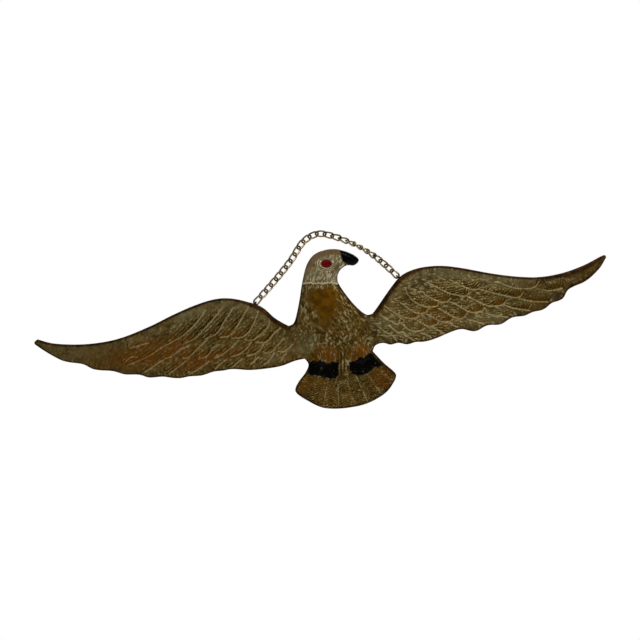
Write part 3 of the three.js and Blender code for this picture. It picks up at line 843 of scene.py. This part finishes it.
black = np.maximum(within(LEFT_BAND), within(RIGHT_BAND))
band_edge = BAND_DROP * (1 - smooth((black + 0.9) / 1.5))
band = np.where(black > -1.2, BAND_RISE - band_edge + 0.22 * grain(x / 2.2, z / 2.2, 52), 0)
# Pale specks in the black of the bands are painted glints.
band_glint_specks = 1.1 * strokes(x, z, 1.0, 1.3, 53)
stem_across = bird_x - STEM_MIDDLE
stem = smooth((STEM_HALF - np.abs(stem_across)) / 1.4) * between(bird_z, -152, -138, -123, -118)
stem_line = np.cos(2 * math.pi * stem_across / STEM_PITCH) * stem
print("band points", int((black > 0).sum()))

# %% [markdown]
# The head is the one finely finished place. The eye is a raised oval in a socket ringed by wrinkles, the
# beak a smooth hook that swells from the outline inward, and the gape a short pale line that runs back
# below it. The painted collar is a raised lip with a notched lower edge.

# %% Collar and eye
COLLAR_HEIGHT = -49.4
EYE = (9.0, -27.6)
EYE_HALF = (5.6, 4.1)
FIRST_WRINKLE = 1.28
WRINKLE_STEP = 0.42

notch = 0.9 * np.abs(np.sin(math.pi * bird_x / 3.6)) + 0.7 * grain(bird_x / 1.7, 0 * x, 61)
above_collar = slice_height - COLLAR_HEIGHT + notch
lip = hill((above_collar - 0.8) / 0.8) * (np.abs(above_collar) < 6)
on_head = smooth(above_collar / 0.8) * on_body > 0.5
eye_u, eye_v = (bird_x - EYE[0]) / EYE_HALF[0], (bird_z - EYE[1]) / EYE_HALF[1]
eye_far = np.hypot(eye_u, eye_v)
red = (1 - eye_far) * EYE_HALF[1]
eye_ball = 0.95 * dome(1 - eye_far) * (eye_far < 1) - 0.3 * hill((eye_far - 1.08) / 0.12)
# Two pale spots at the eye's corners are painted highlights, also raised a little.
eye_corner_highlights = hill(np.hypot(np.abs(eye_u) - 1.13, eye_v - 0.5) / 0.2)
wrinkle = np.cos(2 * math.pi * (eye_far - FIRST_WRINKLE) / WRINKLE_STEP)
wrinkle = wrinkle * smooth(2.6 - eye_far) * smooth((eye_far - 0.95) / 0.2)
wrinkle = wrinkle * (0.35 + 0.65 * smooth((0.4 - eye_u * 0.7 - eye_v * 0.6) / 1.2))
wrinkle = wrinkle * smooth(0.8 + grain(eye_u * 2.1, eye_v * 2.1, 63))
print("eye points", int((red > 0).sum()))

# %% Beak, gape and the marks of the head
# Each point of the root has a height and how far across the beak begins there.
BEAK_ROOT = np.array([
    (-60, 14), (-34.2, 27.6), (-33.5, 27.3), (-32.1, 25.6), (-30.5, 23.4), (-28.1, 21.7),
    (-24.3, 21.3), (-19.9, 21.1), (-16.1, 20.3), (-10, 19.5),
])
GAPE = np.array([(18.0, -35.2), (21.0, -34.0), (24.4, -32.3)])

past_root = x - np.interp(z, *BEAK_ROOT.T)
by_beak = (x > 15) & (z > -37)
beak = np.where((past_root > -0.4) & by_beak, 2.0 + 4.9 * dome(edge_far / 7.2), 0)
groove = hill((past_root - 0.1) / 0.45) * by_beak
root_line = hill((past_root + 1.5) / 0.7) * (x > 12) * (z > -34)
gape = np.zeros(len(plan))
close = np.flatnonzero((x > 12) & (x < 34) & (z > -42) & (z < -26))
gape_place, gape_off = along_and_off(*rim_curve(GAPE), 1, x[close], z[close])
gape[close] = hill(gape_off / 0.55) * (gape_place > -0.6) * (gape_place < 7.6)
streaks = strokes_along(bird_x, bird_z, 68, 1.2, 4.0, 62)
head_marks = (
    0.9 * wrinkle + 0.34 * streaks * smooth((eye_far - 1.4) / 0.7)
    + 1.25 * lip + 3.0 * gape + 0.8 * root_line + 1.3 * eye_corner_highlights
)
body = np.where(on_head, body - MARK_HEIGHT * marks + 0.4 * head_marks + eye_ball, body)
body_ridge = np.where(on_head, head_marks, body_ridge)
print("beak points", int((beak > 0).sum()))

# %% Put the forms together
TOP = 9.45
BODY_VANE = 0.25

for form, line in (
    (np.where(on_body, body, 0), body_ridge),
    (thigh, 1.1 * thigh_marks),
    (band, band_glint_specks),
    (beak, 0),
):
    lay_on(everywhere, form, line, 0, BODY_VANE)
depth = depth + 0.5 * stem + 0.25 * stem_line - 0.45 * groove * on_head
ridge = ridge + stem * (0.9 * stem_line - 0.2)
skin = 0.05 * grain(x / 0.9, z / 0.9, 71) + 0.07 * grain(x / 2.3, z / 2.3, 72)
depth = np.minimum(depth + skin, TOP)
fall = bevel * (0.7 + 0.3 * depth / PLATE)
depth = EDGE_WALL + (depth - EDGE_WALL) * dome(edge_far / fall)
depth[: len(outline)] = EDGE_WALL
print("depth from", round(depth.min(), 2), "to", round(depth.max(), 2), "mm")

# %% [markdown]
# ## Where colour lies
# The patina, the worn brass and the paint are all placed by fields too, and the material only reads them.
# Paint is stored as a distance in from its edge, so that the shader can cut a crisp, slightly ragged edge
# anywhere between the mesh's points. A few pale drips run down from the collar, and the black of the legs has
# small pale specks of brass colour that are painted glints.

# %% Stains of rust and verdigris
WING_CORE = 0.45
RUST_STAINS = [
    (0.85, (-190, -93), (48, 17), 2), (0.75, (-151, -110), (24, 9), 8), (0.5, (-120, -107), (32, 10), 8),
    (0.25, (-112, -87), (24, 6), 5), (0.3, (-245, -88), (34, 12), -10), (0.35, (112, -104), (44, 12), -8),
    (0.6, (46, -158), (18, 15), 40), (0.3, (-38, -152), (12, 10), 0),
]
GREEN_STAINS = [
    (1.0, (-147, -60), (16, 6), 12), (0.5, (75, -105), (38, 16), -15), (0.5, (-272, -76), (50, 18), -6),
    (0.35, (150, -62), (90, 9), -12), (0.6, (160, -113), (42, 9), -5),
]
RUMP_GREEN = [(0.9, (-12, -111), (10, 13), 0)]

rusty_notches = smooth(grain(bird_x / 1.6, 0 * x, 91) + 0.5) * (np.abs(bird_x - 4) < 14)
rust = np.clip(
    ovals(x, z, RUST_STAINS, WING_CORE) + 0.75 * (thigh > 0) * (depth > 6.3)
    + 0.9 * hill((above_collar + 2.2) / 2.0) * rusty_notches,
    0, 1,
)
green = np.clip(
    ovals(x, z, GREEN_STAINS, WING_CORE) + ovals(bird_x, bird_z, RUMP_GREEN, BODY_CORE)
    + 0.2 * neck_side + 0.5 * vane * (1 - rims),
    0, 1,
)
print("rusty points", int((rust > 0.5).sum()), "green", int((green > 0.5).sum()))

# %% Drips, gold and pale wear
PALE_ROOT = [(0.8, (-56, -116), (26, 8), 10)]

drips = hill((above_collar + 3.2) / 2.4) * smooth((grain(bird_x / 1.7, 0 * x, 93) - 0.1) / 0.3)
drips = drips * on_body * (above_collar < -0.5)
ridge = ridge + drips
chest_gold = 0.92 * chest_rub * on_body * smooth((-above_collar - 1.5) / 4) * (1 - 0.8 * drips)
shoulder_wear = smooth((16 - edge_far) / 8) * (outward[edge_at, 1] > 0.2) * smooth((z + 104) / 26)
shoulder_wear = shoulder_wear * (np.abs(x) > 62) * (np.abs(x) < 220)
pale_wing = np.clip(0.8 * shoulder_wear + ovals(x, z, PALE_ROOT, WING_CORE), 0, 1)
print("worn points", int((pale_wing > 0.5).sum()), "golden", int((chest_gold > 0.5).sum()))

# %% Painted shade along the rim
# A dark band along the outline is painted shade on the falling bevel. It is wider along the upper edges and
# at the right wing's tip.
upper_edge = smooth((outward[edge_at, 1] + 0.1) / 0.3) * (z > -128)
edge_shade_width = 1.9 + upper_edge * (1.0 + 0.9 * (bevel - EDGE_BEVEL)) + 1.3 * wing_tip[edge_at]
edge_shade_width = np.where(np.abs(x - 2) < 37, 1.5, edge_shade_width) * np.where(z < -136, 1.3, 1)
edge_shade_width = edge_shade_width + 0.7 * grain(edge_run / 2.2, 0 * x, 72) * (1 - upper_edge)
painted_edge_shade = 1 - smooth((edge_far / edge_shade_width - 0.62) / 0.5)
print("dark rim from", round(edge_shade_width.min(), 1), "to", round(edge_shade_width.max(), 1), "mm wide")

# %% Paint
CROWN_FACING = np.array([-0.5, 0.86])
NO_PAINT = -5

# The white stops short of the edge. Below the gape it stops further off, so that the painted shade along the
# edge shows there as a dark line.
bare_and_shaded_margin = 0.35 + 0.75 * smooth((x - 14) / 4) * between(z, -41, -37, -32, -29)
white = np.minimum(np.minimum(above_collar, -past_root), edge_far - bare_and_shaded_margin)
white = np.where((np.abs(x) < 40) & (z > -60), white, NO_PAINT)
black = np.maximum(black, np.where(by_beak, past_root, NO_PAINT))
crown_side = smooth((outward[edge_at] @ CROWN_FACING + 0.15) / 0.4) * (0.25 + 0.75 * smooth((z + 41) / 12))
worn_crown = smooth((6.8 - edge_far + 0.8 * streaks) / 1.8) * crown_side * (white > 0)
print("white points", int((white > 0).sum()), "black", int((black > 0).sum()))

# %% [markdown]
# ## The casting's mesh
# The front, the upright edge in three rows and the flat back close into one shell. The back edge is eased
# by a quarter of a millimetre, as a fettled casting is.

# %% Close the shell
count = len(outline)
depth_rows = [1.0, BACK_INSET, 0.0]
ring_rows = [outline, outline, back_ring]
shell = [np.column_stack([x, BACK_Y - depth, z])]
for row, row_depth in zip(ring_rows, depth_rows):
    shell.append(np.column_stack([row[:, 0], np.full(count, BACK_Y - row_depth), row[:, 1]]))
starts = [0] + [len(plan) + i * count for i in range(len(ring_rows))]
here, ahead = np.arange(count), np.roll(np.arange(count), -1)
wall = [
    np.column_stack([a + here, b + here, b + ahead, a + here, b + ahead, a + ahead]).reshape(-1, 3)
    for a, b in zip(starts, starts[1:])
]
faces = np.concatenate([front_faces, *wall, back_faces[:, ::-1] + starts[-1]])
vertices = np.concatenate(shell) * MM
print("shell:", len(vertices), "corners,", len(faces), "triangles")


# %% Make the mesh and store its fields
def mesh_object(name, vertices, faces):
    """A smooth mesh object at the origin from arrays of corners and equal-sided faces."""
    mesh = bpy.data.meshes.new(name)
    sides = faces.shape[1]
    mesh.vertices.add(len(vertices))
    mesh.vertices.foreach_set("co", vertices.astype(np.float32).ravel())
    mesh.loops.add(faces.size)
    mesh.loops.foreach_set("vertex_index", faces.astype(np.int32).ravel())
    mesh.polygons.add(len(faces))
    mesh.polygons.foreach_set("loop_start", np.arange(0, faces.size, sides, dtype=np.int32))
    mesh.polygons.foreach_set("use_smooth", np.ones(len(faces), bool))
    mesh.update(calc_edges=True)
    made = bpy.data.objects.new(name, mesh)
    bpy.context.scene.collection.objects.link(made)
    return made


def store(mesh, name, values):
    """One number for each corner of a mesh, under a name that a material can read."""
    mesh.attributes.new(name, "FLOAT", "POINT").data.foreach_set("value", values.astype(np.float32))


eagle = mesh_object("eagle_casting", vertices, faces)
fields = dict(
    ridge=ridge, gold=np.clip(gold, 0, 1), chest_gold=chest_gold, rust=rust, green=green, pale_wing=pale_wing,
    painted_edge_shade=painted_edge_shade, white=white, black=black, red=red, worn_crown=worn_crown,
)
for name, field in fields.items():
    store(eagle.data, name, np.concatenate([field, np.tile(field[:count], 2), np.full(count, field.min())]))
print("casting with", len(fields), "fields")

# %% [markdown]
# ## Lugs
# Two eyes stand on edge on the back, just past the wings' edges, each with an arm that runs down behind the
# wing, so that the chain's last links lie flat. An eye is a ring with softened edges and the arm a rounded
# bar. Both are joined to the casting, because on the real object they are one pour.

# %% Eyes and arms
LUG_RADIUS = 3.1
LUG_HOLE = 1.95
LUG_THICK = 1.6
LUG_ARM = 9.0
LUG_ARM_BACK = 1.2
LUG_ARM_SINK = 0.8
LUG_ARM_START = LUG_HOLE + 0.6
# A lug is given by the middle of its eye and the direction in which its arm runs.
LUGS = [((-77.2, -58.6), -140), ((77.4, -54.8), -52)]


def loop_grid(points):
    """Quads that join a grid of points closed in both directions, as on a ring."""
    n, m = points.shape[:2]
    i, j = np.meshgrid(np.arange(n), np.arange(m), indexing="ij")
    a, b = (i + 1) % n, (j + 1) % m
    return np.stack([i * m + j, i * m + b, a * m + b, a * m + j], axis=-1).reshape(-1, 4)


def squircle(t, power=4):
    """A square with rounded corners, from -1 to 1: cosine and sine over the root of their summed powers."""
    c, s = np.cos(t), np.sin(t)
    size = (np.abs(c) ** power + np.abs(s) ** power) ** (1 / power)
    return c / size, s / size


def eye_ring(centre, turn):
    """A ring on edge: a squircle section carried round a circle in the arm's own upright plane."""
    t, section = np.linspace(0, 2 * math.pi, 48, False), np.linspace(0, 2 * math.pi, 16, False)
    around, section = np.meshgrid(t, section, indexing="ij")
    flat, thick = squircle(section)
    radius = (LUG_RADIUS + LUG_HOLE) / 2 + flat * (LUG_RADIUS - LUG_HOLE) / 2
    c, s = math.cos(math.radians(turn)), math.sin(math.radians(turn))
    ahead, side = radius * np.cos(around), -thick * LUG_THICK / 2
    up = radius * np.sin(around)
    return np.stack([centre[0] + ahead * c - side * s, up, centre[1] + ahead * s + side * c], axis=-1)


rings = [eye_ring(centre, turn) for centre, turn in LUGS]
lug_faces = loop_grid(rings[0])
eyes = [mesh_object(f"lug_eye_{n}", r.reshape(-1, 3) * MM, lug_faces) for n, r in enumerate(rings)]
print("eye rings", len(eyes), "quads each", len(lug_faces))


# %% Arms as rounded bars
ARM_TOP = LUG_ARM_BACK
ARM_BOTTOM = BACK_Y - LUG_ARM_SINK


def rounded_bar(start, direction, length, half_wide, half_thick, rows=14, sides=24):
    """Squircle slices along a direction, whose size shrinks at both ends as the root of a sine does."""
    t = np.linspace(0, math.pi, rows)
    place = 0.5 - 0.5 * np.cos(t)
    size = np.clip(np.sin(t), 0.0, 1) ** 0.35
    row, around = np.meshgrid(np.arange(rows), np.linspace(0, 2 * math.pi, sides, False), indexing="ij")
    wide, thick = squircle(around)
    c, s = math.cos(math.radians(direction)), math.sin(math.radians(direction))
    run = place[row] * length
    wide, thick = wide * size[row] * half_wide, thick * size[row] * half_thick
    middle = (ARM_TOP + ARM_BOTTOM) / 2
    points = np.stack([start[0] + run * c - wide * s, middle + thick, start[1] + run * s + wide * c], axis=-1)
    return points[1:-1]


def tube_faces(rows, sides):
    """Quads along a tube of rows, cut in triangles, and a fan of triangles over each end."""
    i, j = np.meshgrid(np.arange(rows - 1), np.arange(sides), indexing="ij")
    row, next_row, b = i * sides, (i + 1) * sides, (j + 1) % sides
    quads = np.stack([row + j, next_row + j, next_row + b, row + b], axis=-1).reshape(-1, 4)
    tris = np.concatenate([quads[:, :3], quads[:, [0, 2, 3]]])
    k = np.arange(1, sides - 1)
    first = np.column_stack([np.zeros_like(k), k, k + 1])
    last = first + (rows - 1) * sides
    return np.concatenate([tris, first, last[:, ::-1]])


def join(target, other):
    """Joins a closed solid to target by a boolean union, keeps the result in target and removes the other."""
    union = target.modifiers.new("join", "BOOLEAN")
    union.operation, union.object, union.solver = "UNION", other, "MANIFOLD"
    joined = bpy.data.meshes.new_from_object(target.evaluated_get(bpy.context.evaluated_depsgraph_get()))
    target.modifiers.remove(union)
    old = target.data
    target.data = joined
    bpy.data.meshes.remove(old)
    bpy.data.objects.remove(other)


for n, ((lug_x, lug_z), inward) in enumerate(LUGS):
    c, s = math.cos(math.radians(inward)), math.sin(math.radians(inward))
    start = (lug_x + c * LUG_ARM_START, lug_z + s * LUG_ARM_START)
    bar = rounded_bar(start, inward, LUG_ARM - LUG_ARM_START, LUG_THICK / 2, (ARM_TOP - ARM_BOTTOM) / 2)
    arm = mesh_object(f"lug_arm_{n}", bar.reshape(-1, 3) * MM, tube_faces(*bar.shape[:2]))
    join(eagle, eyes[n])
    join(eagle, arm)
eagle.data.name = "eagle_casting"
print("casting with lugs:", len(eagle.data.vertices), "corners,", len(eagle.data.polygons), "faces")

# %% [markdown]
# ## Brass, patina and paint
# Old brass darkens to olive brown where it lies deep and is rubbed bright where it stands proud. So the
# colour starts from the ridge field: dark in the hollows, pale along the ridges, a pale that is both rubbed
# brass and painted highlight. Stains are laid over it, then painted shade along the rim, and then the paints,
# each cut at its own edge with a little noise. Paint isn't metal, so it lowers the metal share too.


# %% Small helpers for shader nodes
def add(tree, kind, settings=None, **inputs):
    """A node with its settings and its inputs, where an input is a value or another node's output."""
    node = tree.nodes.new(kind)
    for name, value in (settings or {}).items():
        setattr(node, name, value)
    for name, value in inputs.items():
        socket = node.inputs[int(name[1:]) if name[1:].isdigit() else name.replace("_", " ")]
        if isinstance(value, bpy.types.NodeSocket):
            tree.links.new(value, socket)
        else:
            socket.default_value = value
    return node


def maths(tree, operation, *values):
    """One sum of numbers or outputs."""
    inputs = {f"_{i}": value for i, value in enumerate(values)}
    return add(tree, "ShaderNodeMath", {"operation": operation}, **inputs).outputs[0]


def span(tree, value, low, high, to_low=0.0, to_high=1.0):
    """A value's smooth passage from low to high, brought to another range."""
    return add(
        tree, "ShaderNodeMapRange", {"interpolation_type": "SMOOTHSTEP"},
        Value=value, From_Min=low, From_Max=high, To_Min=to_low, To_Max=to_high,
    ).outputs[0]


def blend(tree, factor, under, over):
    """One colour over another by a factor."""
    node = add(tree, "ShaderNodeMix", {"data_type": "RGBA"}, _0=factor)
    for socket, colour in ((node.inputs[6], under), (node.inputs[7], over)):
        if isinstance(colour, bpy.types.NodeSocket):
            tree.links.new(colour, socket)
        else:
            socket.default_value = (*colour, 1)
    return node.outputs[2]


def level(tree, factor, under, over):
    """One number over another by a factor."""
    return add(tree, "ShaderNodeMix", {"data_type": "FLOAT"}, _0=factor, _2=under, _3=over).outputs[0]


def read(tree, name):
    """A field of the mesh."""
    return add(tree, "ShaderNodeAttribute", {"attribute_name": name}).outputs["Fac"]


def noise(tree, scale_mm, detail=3.0, rough=0.55, seed=0.0):
    """Noise on object coordinates, from 0 to 1, with features of a size in millimetres."""
    place = add(tree, "ShaderNodeTexCoord").outputs["Object"]
    shift = (seed, seed * 0.7, -seed)
    moved = add(tree, "ShaderNodeVectorMath", {"operation": "ADD"}, _0=place, _1=shift).outputs[0]
    scale = 1 / (scale_mm * MM)
    speckle = add(tree, "ShaderNodeTexNoise", None, Vector=moved, Scale=scale, Detail=detail, Roughness=rough)
    return speckle.outputs["Fac"]


print("node helpers ready")

# %% Colours
HOLLOW = (0.026, 0.013, 0.0010)
OLIVE = (0.148, 0.088, 0.012)
# The pale of the ridges is both rubbed brass and painted highlight.
RUBBED_AND_HIGHLIGHT = (0.43, 0.360, 0.180)
GOLD = (0.185, 0.074, 0.0008)
GOLD_DARK = (0.085, 0.034, 0.0008)
RUST = (0.175, 0.056, 0.0014)
VERDIGRIS = (0.178, 0.150, 0.058)
# The two edge colours are painted shade along the rim.
EDGE_SHADE = (0.022, 0.008, 0.0012)
EDGE_SHADE_PALE = (0.085, 0.034, 0.005)
WHITE = (0.225, 0.180, 0.085)
WHITE_BRIGHT = (0.68, 0.60, 0.38)
BROWN_WEAR = (0.105, 0.068, 0.022)
CROWN = (0.20, 0.115, 0.052)
RED = (0.24, 0.0015, 0.004)
RED_DARK = (0.045, 0.0008, 0.0010)
BLACK = (0.0015, 0.0015, 0.0015)
print("colours from", HOLLOW, "to", WHITE_BRIGHT)


# %% Patina
def patina(tree, height, medium, broad):
    """The brass: dark in its hollows and olive on its ridges, then golden clouds, verdigris, rust, golden
    hollows and chest, the ridges paled by rubbed brass and painted highlight, and painted shade along the
    rim."""
    colour = blend(tree, span(tree, height, -0.7, 0.25), HOLLOW, OLIVE)
    colour = blend(tree, span(tree, broad, 0.4, 0.75, 0.0, 0.35), colour, GOLD)
    green = maths(tree, "MULTIPLY", read(tree, "green"), span(tree, medium, 0.3, 0.7, 0.3, 0.9))
    colour = blend(tree, green, colour, VERDIGRIS)
    rust = maths(tree, "MULTIPLY", read(tree, "rust"), span(tree, medium, 0.25, 0.65, 0.35, 1.0))
    colour = blend(tree, rust, colour, RUST)
    colour = blend(tree, read(tree, "gold"), colour, GOLD)
    chest = blend(tree, span(tree, medium, 0.35, 0.62), GOLD_DARK, GOLD)
    colour = blend(tree, read(tree, "chest_gold"), colour, chest)
    pale = maths(tree, "MULTIPLY", read(tree, "pale_wing"), span(tree, medium, 0.3, 0.75, 0.05, 0.35))
    # The ridges are paled by rubbed brass and by painted highlight.
    rubbed_and_highlit = maths(tree, "MAXIMUM", span(tree, height, 0.2, 1.35, 0.0, 0.95), pale)
    off_chest = maths(tree, "SUBTRACT", 1.0, maths(tree, "MULTIPLY", read(tree, "chest_gold"), 0.9))
    rubbed_and_highlit = maths(tree, "MULTIPLY", maths(tree, "MULTIPLY", rubbed_and_highlit, off_chest), level(tree, rust, 1.0, 0.55))
    colour = blend(tree, rubbed_and_highlit, colour, RUBBED_AND_HIGHLIGHT)
    # The dark edge laid over everything is painted shade along the rim.
    edge = blend(tree, span(tree, medium, 0.35, 0.7), EDGE_SHADE, EDGE_SHADE_PALE)
    return blend(tree, read(tree, "painted_edge_shade"), colour, edge)


print("patina goes from", HOLLOW, "in the hollows to", RUBBED_AND_HIGHLIGHT, "on the ridges")

# %% Paint over the brass
def cover(tree, name, ragged, low, high):
    """How much of a paint there is: a step at its edge, which the ragged noise moves in and out."""
    return span(tree, maths(tree, "ADD", read(tree, name), ragged), low, high)


def painted(tree, brass, height, fine, medium):
    """The colour with the worn white, the red and the black with painted glints over the brass, and the cover
    of each.
    """
    ragged = span(tree, fine, 0.3, 0.7, -0.5, 0.5)
    white = cover(tree, "white", ragged, -0.1, 0.25)
    red = cover(tree, "red", maths(tree, "MULTIPLY", ragged, 0.6), -0.15, 0.2)
    black = cover(tree, "black", ragged, -0.1, 0.25)
    thin = maths(tree, "ADD", medium, maths(tree, "MULTIPLY", height, -0.25))
    worn = maths(tree, "MULTIPLY", span(tree, thin, 0.45, 0.75), 0.75)
    coat = blend(tree, span(tree, height, -0.1, 0.7), WHITE, WHITE_BRIGHT)
    coat = blend(tree, worn, coat, BROWN_WEAR)
    coat = blend(tree, maths(tree, "MULTIPLY", read(tree, "worn_crown"), 0.92), coat, CROWN)
    colour = blend(tree, white, brass, coat)
    colour = blend(tree, red, colour, blend(tree, span(tree, fine, 0.42, 0.62), RED, RED_DARK))
    # Pale specks of brass colour in the black are painted glints.
    painted_glints = maths(tree, "MULTIPLY", black, span(tree, height, 0.85, 1.5, 0.0, 0.16))
    colour = blend(tree, maths(tree, "SUBTRACT", black, painted_glints), colour, BLACK)
    return colour, white, red, black


print("paints: white", WHITE, "red", RED, "and black", BLACK)

# %% Painted brass
def painted_brass():
    """The casting's finish, from its fields and three sizes of noise.

    Each paint has its own roughness, and where paint covers the brass there is no metal."""
    material, tree, shader = new_material("painted_brass")
    fine, medium, broad = noise(tree, 1.4, 4), noise(tree, 7, 3, seed=0.31), noise(tree, 34, 2, seed=0.67)
    height = maths(tree, "ADD", read(tree, "ridge"), span(tree, fine, 0.25, 0.75, -0.24, 0.24))
    brass = patina(tree, height, medium, broad)
    colour, white, red, black = painted(tree, brass, height, fine, medium)
    tree.links.new(colour, shader.inputs["Base Color"])
    shader.inputs["Specular IOR Level"].default_value = 0.06
    rough = level(tree, span(tree, fine, 0.3, 0.7), 0.38, 0.6)
    for paint, roughness in ((white, 0.6), (red, 0.3), (black, 0.2)):
        rough = level(tree, paint, rough, roughness)
    tree.links.new(rough, shader.inputs["Roughness"])
    covered = maths(tree, "MAXIMUM", maths(tree, "MAXIMUM", white, red), black)
    uncovered = maths(tree, "SUBTRACT", 1.0, covered)
    metal = maths(tree, "MULTIPLY", span(tree, height, -0.6, 0.9, 0.35, 0.8), uncovered)
    tree.links.new(metal, shader.inputs["Metallic"])
    bumps = add(tree, "ShaderNodeBump", None, Strength=0.35, Distance=0.0004, Height=fine)
    tree.links.new(bumps.outputs["Normal"], shader.inputs["Normal"])
    return material


eagle.data.materials.clear()
eagle.data.materials.append(painted_brass())
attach(eagle, "root")
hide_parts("eagle")
print("casting finished with", len(eagle.data.materials), "material")

# %% [markdown]
# ## Chain
# A curb chain's links are ovals of round wire, each twisted so that its neighbours lie flat in it. Where
# each link hangs is already in the frame, so its middle, its long direction and its twist are measured off
# the link there, and the fine link is built on them: a circle of wire carried round an oval whose two sides
# turn with the twist.

# %% Measure the links in the frame
WIRE = 1.95
LINK_WIDTH = 7.8
BEND = (LINK_WIDTH - WIRE) / 2 - 0.15
TWIST_PLACES = (-0.85, 0, 0.85)


def spread_angle(flat):
    """The direction in which a cloud of 2-D points is widest: half the angle of its second moments."""
    a, b = (flat - flat.mean(axis=0)).T
    return 0.5 * math.atan2(2 * (a @ b), a @ a - b @ b)


def measured(name):
    """A link's middle, its three directions, its length, and its twist at both ends."""
    cloud = merged_corners(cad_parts[name].data)[0]
    middle = (cloud.min(axis=0) + cloud.max(axis=0)) / 2
    middle = cloud.mean(axis=0) if np.linalg.norm(middle - cloud.mean(axis=0)) < 0.2 else middle
    long = np.linalg.svd(cloud - middle)[2][0]
    long = long * np.sign(long[0])
    square = np.cross(long, np.array([0.0, 1.0, 0.0]))
    square /= np.linalg.norm(square)
    deep = np.cross(square, long)
    run = (cloud - middle) @ long
    flat = np.stack([(cloud - middle) @ square, (cloud - middle) @ deep], axis=1)
    half = (run.max() - run.min()) / 2
    start, mid, end = [spread_angle(flat[np.abs(run - at * half) < 0.25 * half]) for at in TWIST_PLACES]
    ends = [mid + (angle - mid + math.pi / 2) % math.pi - math.pi / 2 for angle in (start, end)]
    return middle, (long, square, deep), 2 * half, ends


links = {name: measured(name) for name in sorted(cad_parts) if name.startswith("chain_link")}
print("links", len(links), "length of one in mm", round(links["chain_link_05"][2], 2))

# %% Build the fine links
AROUND = 56
SIDES = 12
WIRE_DRAWN = 1.94


def link_surface(middle, directions, length, ends):
    """Wire round an oval of two half circles and two straights, whose width turns from one end to the other.

    The bend angle rises by half a turn in each half circle, while a slide carries the straights."""
    straight = (length - WIRE) / 2 - BEND
    flank, arc = 2 * straight, math.pi * BEND
    stops = np.cumsum([0, flank, arc, flank, arc])
    s = np.linspace(0, stops[-1], AROUND, endpoint=False)
    bend = np.interp(s, stops, [0, 0, math.pi, math.pi, 2 * math.pi])
    run = np.interp(s, stops, [-straight, straight, straight, -straight, -straight]) + BEND * np.sin(bend)
    width = BEND * np.cos(bend)
    turn = ends[0] + (ends[1] - ends[0]) * (run / (straight + BEND) + 1) / 2
    centre = np.stack([run, width * np.cos(turn), width * np.sin(turn)], axis=1)
    ahead = np.roll(centre, -1, axis=0) - np.roll(centre, 1, axis=0)
    ahead /= np.linalg.norm(ahead, axis=1)[:, None]
    out = centre - ahead * np.sum(centre * ahead, axis=1)[:, None]
    out /= np.linalg.norm(out, axis=1)[:, None]
    up = np.cross(ahead, out)
    a = np.linspace(0, 2 * math.pi, SIDES, endpoint=False)[:, None]
    wire = centre[:, None] + WIRE_DRAWN / 2 * (out[:, None] * np.cos(a) + up[:, None] * np.sin(a))
    joint = smooth((np.abs(run) / (straight + BEND) - 0.45) / 0.4)
    return middle + wire @ np.stack(directions), np.repeat(joint, SIDES)


print("faces of one fine link", AROUND * SIDES)

# %% Chain brass
WIRE_PALE = (0.58, 0.44, 0.22)
WIRE_DULL = (0.115, 0.074, 0.020)


def chain_brass():
    """Pale brass wire with a thin dull film, browner where links bear on each other and in noisy patches."""
    material, tree, shader = new_material("chain_brass")
    fine, broad = noise(tree, 0.8, 3), noise(tree, 6, 2, seed=0.4)
    film = maths(tree, "ADD", span(tree, fine, 0.35, 0.75, 0.0, 0.45), span(tree, broad, 0.4, 0.7, 0.0, 0.5))
    film = maths(tree, "ADD", film, maths(tree, "MULTIPLY", read(tree, "joint"), 0.6))
    film = maths(tree, "MINIMUM", film, 1.0)
    tree.links.new(blend(tree, film, WIRE_PALE, WIRE_DULL), shader.inputs["Base Color"])
    tree.links.new(level(tree, film, 0.25, 0.5), shader.inputs["Roughness"])
    shader.inputs["Metallic"].default_value = 1.0
    return material


wire_finish = chain_brass()
for name, (middle, directions, length, ends) in links.items():
    surface, joint = link_surface(middle, directions, length, ends)
    piece = mesh_object(f"wire_{name}", surface.reshape(-1, 3) * MM, loop_grid(surface))
    store(piece.data, "joint", joint)
    piece.data.materials.append(wire_finish)
    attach(piece, "root")
    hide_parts(name)
print("chain made of", len(links), "links")

# %% [markdown]
# ## The size
# The box round everything shown is measured. The looks may not outgrow the part.

# %% Measure the box
low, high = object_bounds()
